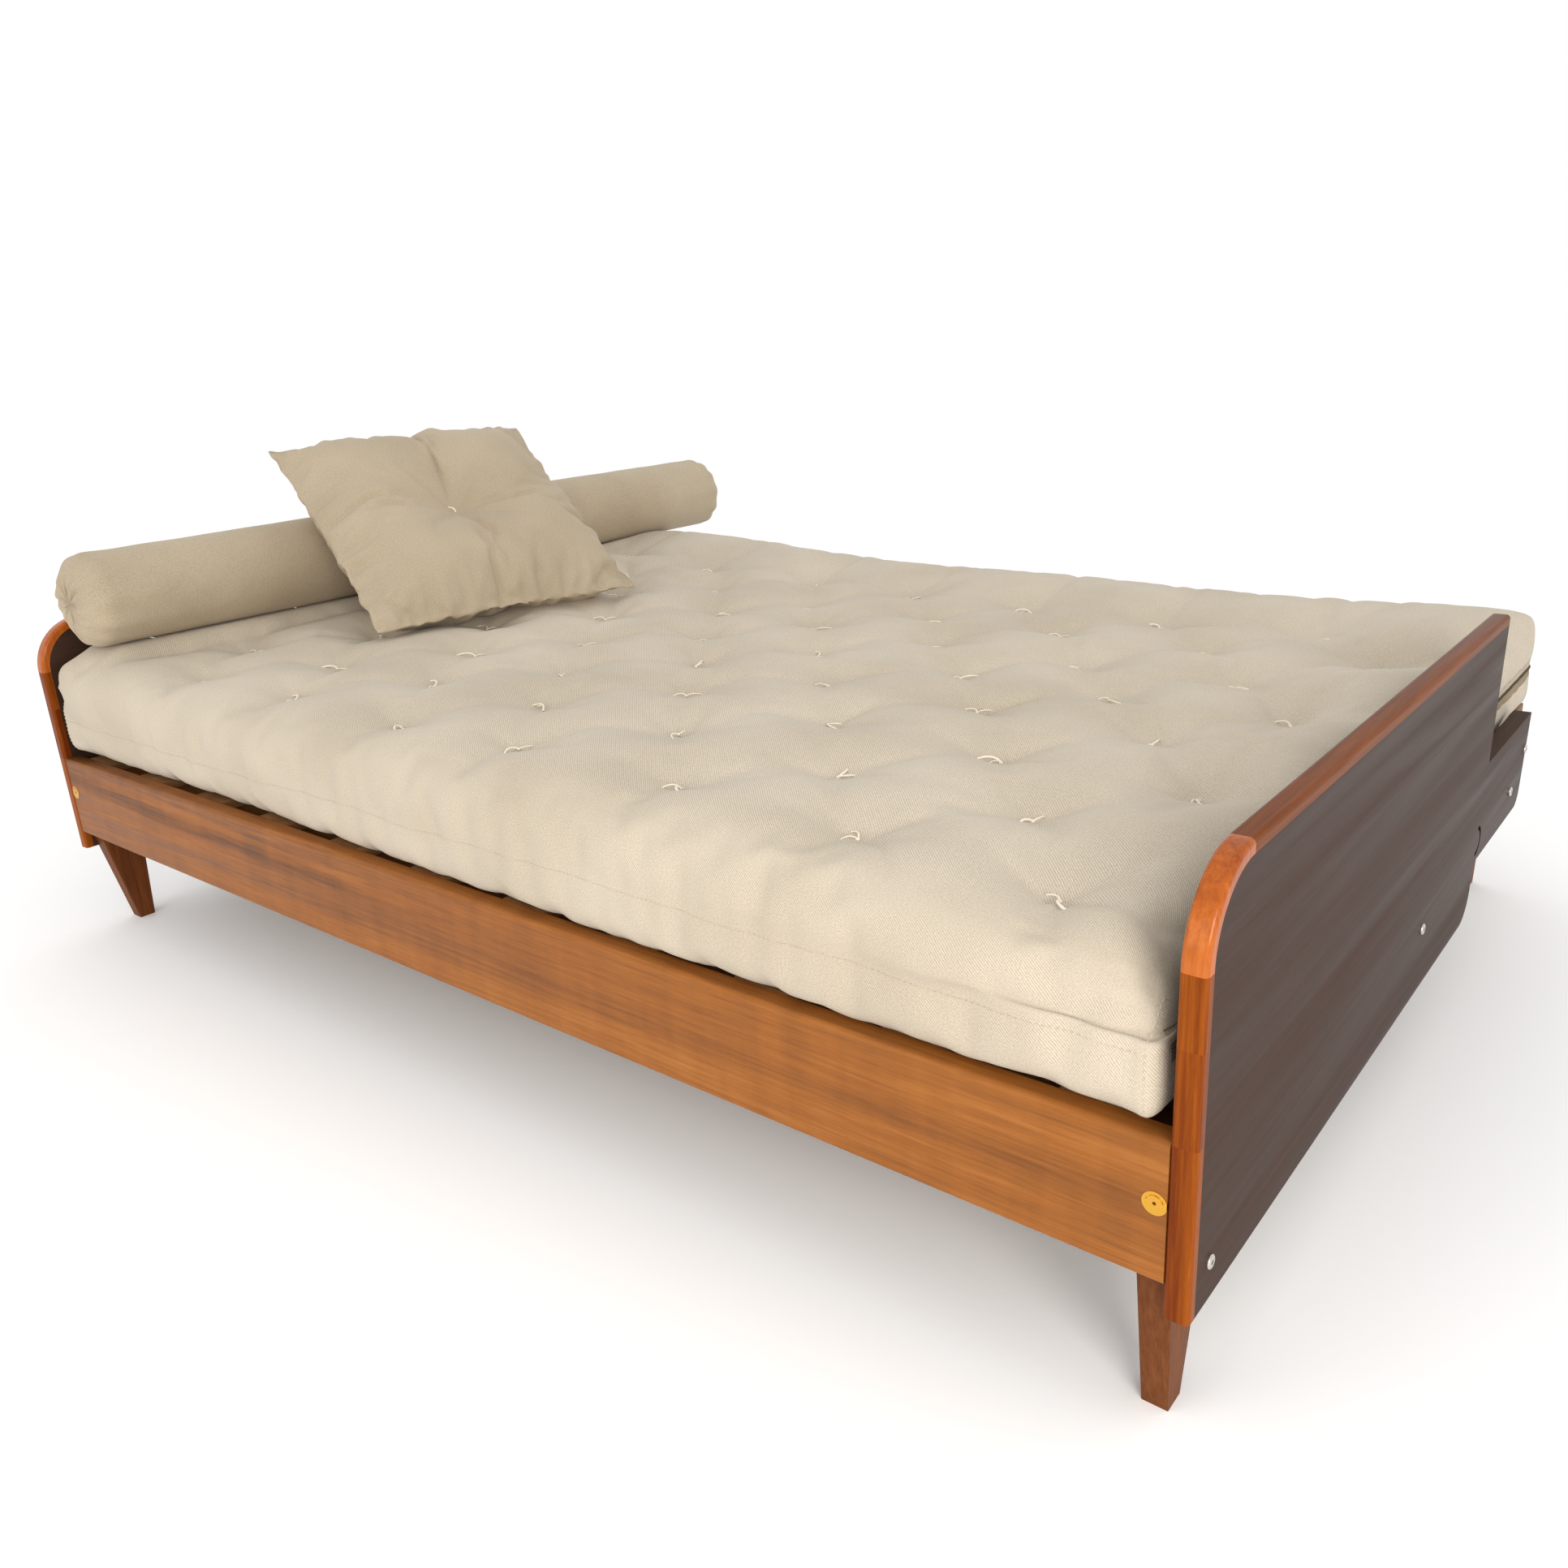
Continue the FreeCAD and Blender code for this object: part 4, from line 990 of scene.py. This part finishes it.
def make_zip():
    """Tape, two toothed coils and a cover flap, each lifted a little off the one below."""
    half = ZIP_TAPE_H / 2
    tape_rows = [foot_end_line(h, 0.15 * MM) for h in (-half, -half / 2, 0, half / 2, half)]
    tape = strip("zip_tape", tape_rows, zip_tape)
    coils = []
    for number, height in enumerate((-ZIP_COIL_OFFSET, ZIP_COIL_OFFSET)):
        line = foot_end_line(height, 0.6 * MM)
        coil = mesh_piece("zip_coil_%d" % (number + 1), line, [], zip_coil, edges=chain(line))
        tree = row_tree("zip_teeth_%d" % (number + 1), zip_coil, ZIP_TOOTH_PITCH, *ZIP_TOOTH)
        coils.append(grow(coil, tree))
    flap_rows = [
        foot_end_line(ZIP_FLAP_LOW, 0.5 * MM),
        foot_end_line(ZIP_FLAP_H / 2, 0.35 * MM),
        foot_end_line(ZIP_FLAP_H, 0.1 * MM),
    ]
    flap = strip("zip_flap", flap_rows, painted_shade_twill)
    return [tape, flap] + coils


zip_parts = make_zip()

for piece in [mattress, ties, mattress_stitches] + corner_seams + zip_parts:
    if piece is mattress:
        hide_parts("mattress_seat", "mattress_bend", "mattress_back")
    blend_with_back(piece)


# ---- bolster ----
def bolster_rings(low, high, radius):
    """(place along Y, radius, share of the full radius) for each ring of the roll."""
    profile = []
    for i in range(CAP_RINGS):
        share = math.sin((i + CAP_FIRST) / CAP_RINGS * math.pi / 2)
        r = radius * share ** CAP_SPREAD
        depth = BOLSTER_END_DEPTH * (1 - math.sqrt(1 - (r / radius) ** CAP_CURVE))
        profile.append((depth, r))
    length = high.y - low.y - 2 * BOLSTER_END_DEPTH
    count = int(length / BOLSTER_STEP)
    beyond_rim = 2.0                 # marks the rings between the two ends
    rings = [(low.y + depth, r, r / radius) for depth, r in profile]
    for i in range(count + 1):
        y = low.y + BOLSTER_END_DEPTH + length * i / count
        rings.append((y, radius, beyond_rim))
    rings += [(high.y - depth, r, r / radius) for depth, r in reversed(profile)]
    return rings


def make_bolster():
    """A roll whose cover is gathered into pleats at both ends."""
    low, high = Vector(bolster_low), Vector(bolster_high)
    axis = Vector(((low.x + high.x) / 2, 0, (low.z + high.z) / 2))
    radius = (high.z - low.z) / 2 - BOLSTER_INSET
    around = int(2 * math.pi * radius / STEP_AROUND)
    rings = bolster_rings(low, high, radius)
    points, flat = [], []
    for y, r, rim in rings:
        for k in range(around):
            turn = 2 * math.pi * k / around      # from the underside, where the cover's long seam lies
            angle = turn + math.pi
            up, sideways = math.cos(angle), math.sin(angle)
            pleat = math.cos(BOLSTER_PLEATS * angle + PLEAT_WANDER * waver(up, sideways, 3.3))
            gather = (1 - smooth_step(*PLEAT_RIM, rim)) if rim <= 1 else 0
            wrinkle = waver(up * WRINKLE_CELLS[0], sideways * WRINKLE_CELLS[0], y * WRINKLE_CELLS[1])
            puff = 1 + BOLSTER_WRINKLE * (1 - abs(wrinkle) * 4)
            near_end = math.exp(-min(y - low.y, high.y - y) / PLEAT_REACH)
            reach = r * (puff + PLEAT_RISE * pleat * near_end)
            push = PLEAT_PUSH * pleat * gather * (1 if y < (low.y + high.y) / 2 else -1)
            z = axis.z + reach * up
            points.append(Vector((axis.x + reach * sideways, y + push, max(z, low.z + BOLSTER_FLAT))))
            flat.append((radius * turn, y, r))
    count = len(rings)
    faces = []
    for i in range(count - 1):
        for k in range(around):
            a, b = i * around + k, i * around + (k + 1) % around
            faces.append((a, b, b + around, a + around))
    first_ring = list(range(around))
    last_ring = list(range((count - 1) * around, count * around))
    faces.append(first_ring[::-1])
    faces.append(last_ring)
    piece = mesh_piece("bolster_cover", points, faces, painted_shade_twill)
    keep_cloth_places(piece, flat)
    held = first_ring + last_ring
    swell(piece, held, {}, BOLSTER_PRESSURE, BOLSTER_SWELL, spare=COVER_SLACK)
    for vertex in piece.data.vertices:
        vertex.co.z = max(vertex.co.z, low.z + BOLSTER_FLAT)
        vertex.co.x = max(vertex.co.x, PANEL_CLEARANCE - panel_face)
    return subdivide(piece)


bolster = make_bolster()
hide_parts("bolster")
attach(bolster, "bolster")


# ---- pillow ----
def pillow_place():
    """From the pillow lying flat about the origin to where it leans on the bolster."""
    middle = (Vector(pillow_low) + Vector(pillow_high)) / 2
    lean = Matrix.Rotation(PILLOW_TURN, 4, "Z") @ Matrix.Rotation(PILLOW_TILT, 4, "Y")
    return Matrix.Translation(middle) @ lean


def pillow_spot(i, j, side):
    """A grid point's key, the same for both sheets where they are joined."""
    on_edge = i in (0, PILLOW_CELLS) or j in (0, PILLOW_CELLS)
    return (i, j, 0 if on_edge else side)


def pillow_sheets():
    """Points, flat places, faces and grid numbers of the two sheets before they are filled."""
    cells = PILLOW_CELLS
    half = PILLOW_CUT / 2
    points, flat, faces, index = [], [], [], {}
    for side in (1, -1):
        for i in range(cells + 1):
            for j in range(cells + 1):
                key = pillow_spot(i, j, side)
                if key in index:
                    continue
                index[key] = len(points)
                u, v = 2 * i / cells - 1, 2 * j / cells - 1
                bulge = (1 - u ** 4) * (1 - v ** 4)
                ripple = PILLOW_RIPPLE * waver(u * 9, v * 9, side)
                seam = max(abs(u), abs(v)) ** 8
                gather = PILLOW_EDGE_RIPPLE * seam * waver(u * 16, v * 16, 4.0)
                swollen = side * (PILLOW_LOFT * bulge) + ripple + gather
                rise = swollen if key[2] else gather
                points.append(Vector((u * half, v * half, rise)))
                flat.append((u * half, v * half, 0))
    for side in (1, -1):
        for i in range(cells):
            for j in range(cells):
                ring = [(i, j), (i + 1, j), (i + 1, j + 1), (i, j + 1)]
                corners = [index[pillow_spot(a, b, side)] for a, b in ring]
                faces.append(corners if side == 1 else corners[::-1])
    return points, flat, faces, index


def pucker_pillow(piece):
    """Bring the filled pillow to its size, fuller below than above, with gathers at the seams."""
    ys = [v.co.y for v in piece.data.vertices]
    scale = PILLOW_SIDE / (max(ys) - min(ys))
    for vertex in piece.data.vertices:
        x, y, z = vertex.co * scale
        inset = (1 - max(abs(x), abs(y)) / (PILLOW_SIDE / 2)) * PILLOW_SIDE / 2
        along = y if abs(x) > abs(y) else x
        sheet = 6.0 if z > 0 else 9.0
        gather = waver(along * GATHER_CELLS[0], inset * GATHER_CELLS[1], sheet)
        strength = smooth_step(*GATHER_RISE, inset)
        strength *= 1 - smooth_step(*GATHER_FADE, inset)
        fullness = PILLOW_BELLY if z < 0 else PILLOW_CROWN
        vertex.co = (x, y, z * fullness + PILLOW_GATHER * gather * strength)


def make_pillow():
    """Two square sheets joined round the edge, tied at the middle and blown up."""
    cells = PILLOW_CELLS
    points, flat, faces, index = pillow_sheets()
    piece = mesh_piece("pillow_cover", points, faces, painted_shade_twill)
    keep_cloth_places(piece, flat)
    centre = cells // 2
    drawn = {}
    for side in (1, -1):
        drawn[index[(centre, centre, side)]] = Vector((0, 0, side * PILLOW_TIE_HALF))
    for (i, j, side), number in index.items():
        if side:
            continue
        u, v = 2 * i / cells - 1, 2 * j / cells - 1
        bow = 1 - PILLOW_BOW * (1 - min(abs(u), abs(v)) ** 2)
        upward = 1.6 * waver(u * 11, v * 11, 3.0)
        wave = Vector((waver(u * 8, v * 8, 1.0), waver(u * 8, v * 8, 2.0), upward))
        drawn[number] = points[number] * (PILLOW_DRAW_IN * bow) + wave * PILLOW_SEAM_WAVE
    swell(piece, [], drawn, PILLOW_PRESSURE, PILLOW_SWELL, frames=36, bending=0.02, stretch=40,
          quality=7)
    subdivide(piece)
    pucker_pillow(piece)
    return piece


pillow = make_pillow()
pillow_surface = surface_of(pillow)
hit, _, _, _ = pillow_surface.ray_cast(Vector((0, 0, 1)), Vector((0, 0, -1)))
pillow_tie = mesh_piece("pillow_tie", [hit + Vector((0, 0, TIE_LIFT))], [], tie_thread)
grow(pillow_tie, tie_tree(tie_thread), Length=TIE_LENGTH, Thread=TIE_THREAD_R, Seed=4)
keep_own_places(pillow_tie)
for piece in (pillow, pillow_tie):
    piece.data.transform(pillow_place())
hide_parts("pillow")
for piece in (pillow, pillow_tie):
    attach(piece, "pillow")


# ---- camera, lights, floor ----
def place_camera():
    """Camera over the foot end's front corner, looking down the bed towards the head."""
    rail_middle = Vector(((rail_low.x + rail_high.x) / 2, rail_low.y, 0))
    position = rail_middle + Vector(CAMERA_FROM_RAIL)
    yaw, pitch, roll = (math.radians(a) for a in CAMERA_ANGLES)
    ahead = math.cos(pitch)
    forward = Vector((math.sin(yaw) * ahead, math.cos(yaw) * ahead, math.sin(pitch)))
    level = Vector((math.cos(yaw), -math.sin(yaw), 0))
    upright = level.cross(forward)
    right = level * math.cos(roll) + upright * math.sin(roll)
    up = upright * math.cos(roll) - level * math.sin(roll)
    data = bpy.data.cameras.new("camera")
    data.lens = CAMERA_LENS
    data.sensor_width = CAMERA_SENSOR
    camera = bpy.data.objects.new("camera", data)
    turn = Matrix((right, up, -forward)).transposed().to_4x4()
    camera.matrix_world = Matrix.Translation(position) @ turn
    scene.collection.objects.link(camera)
    scene.camera = camera


def add_softbox(name, place, target, size, power, tint):
    data = bpy.data.lights.new(name, "AREA")
    data.shape = "RECTANGLE"
    data.size, data.size_y = size
    data.energy = power
    data.color = linear(tint)[:3]
    lamp = bpy.data.objects.new(name, data)
    aim = Vector(target) - Vector(place)
    lamp.rotation_euler = aim.to_track_quat("-Z", "Y").to_euler()
    lamp.location = place
    scene.collection.objects.link(lamp)


place_camera()
add_softbox(
    "window", place=(2.6, -2.2, 1.25), target=(0.1, 0.1, 0.35), size=(1.2, 1.0), power=42, tint="#fffaf4",
)
add_softbox(
    "front_fill", place=(-0.6, -3.0, 1.2), target=(0, 0, 0.35), size=(1.8, 1.4), power=11, tint="#fff9f2",
)

world = bpy.data.worlds.new("studio")
scene.world = world
world.use_nodes = True
world.node_tree.nodes["Background"].inputs["Color"].default_value = linear("#ffffff")
world.node_tree.nodes["Background"].inputs["Strength"].default_value = 1.0
scene.view_settings.view_transform = "Standard"

floor_corners = [(-FLOOR_HALF, -FLOOR_HALF, 0), (FLOOR_HALF, -FLOOR_HALF, 0),
                 (FLOOR_HALF, FLOOR_HALF, 0), (-FLOOR_HALF, FLOOR_HALF, 0)]
floor = mesh_piece("floor", floor_corners, [(0, 1, 2, 3)], matt_paint("studio_floor_white", "#ffffff"))
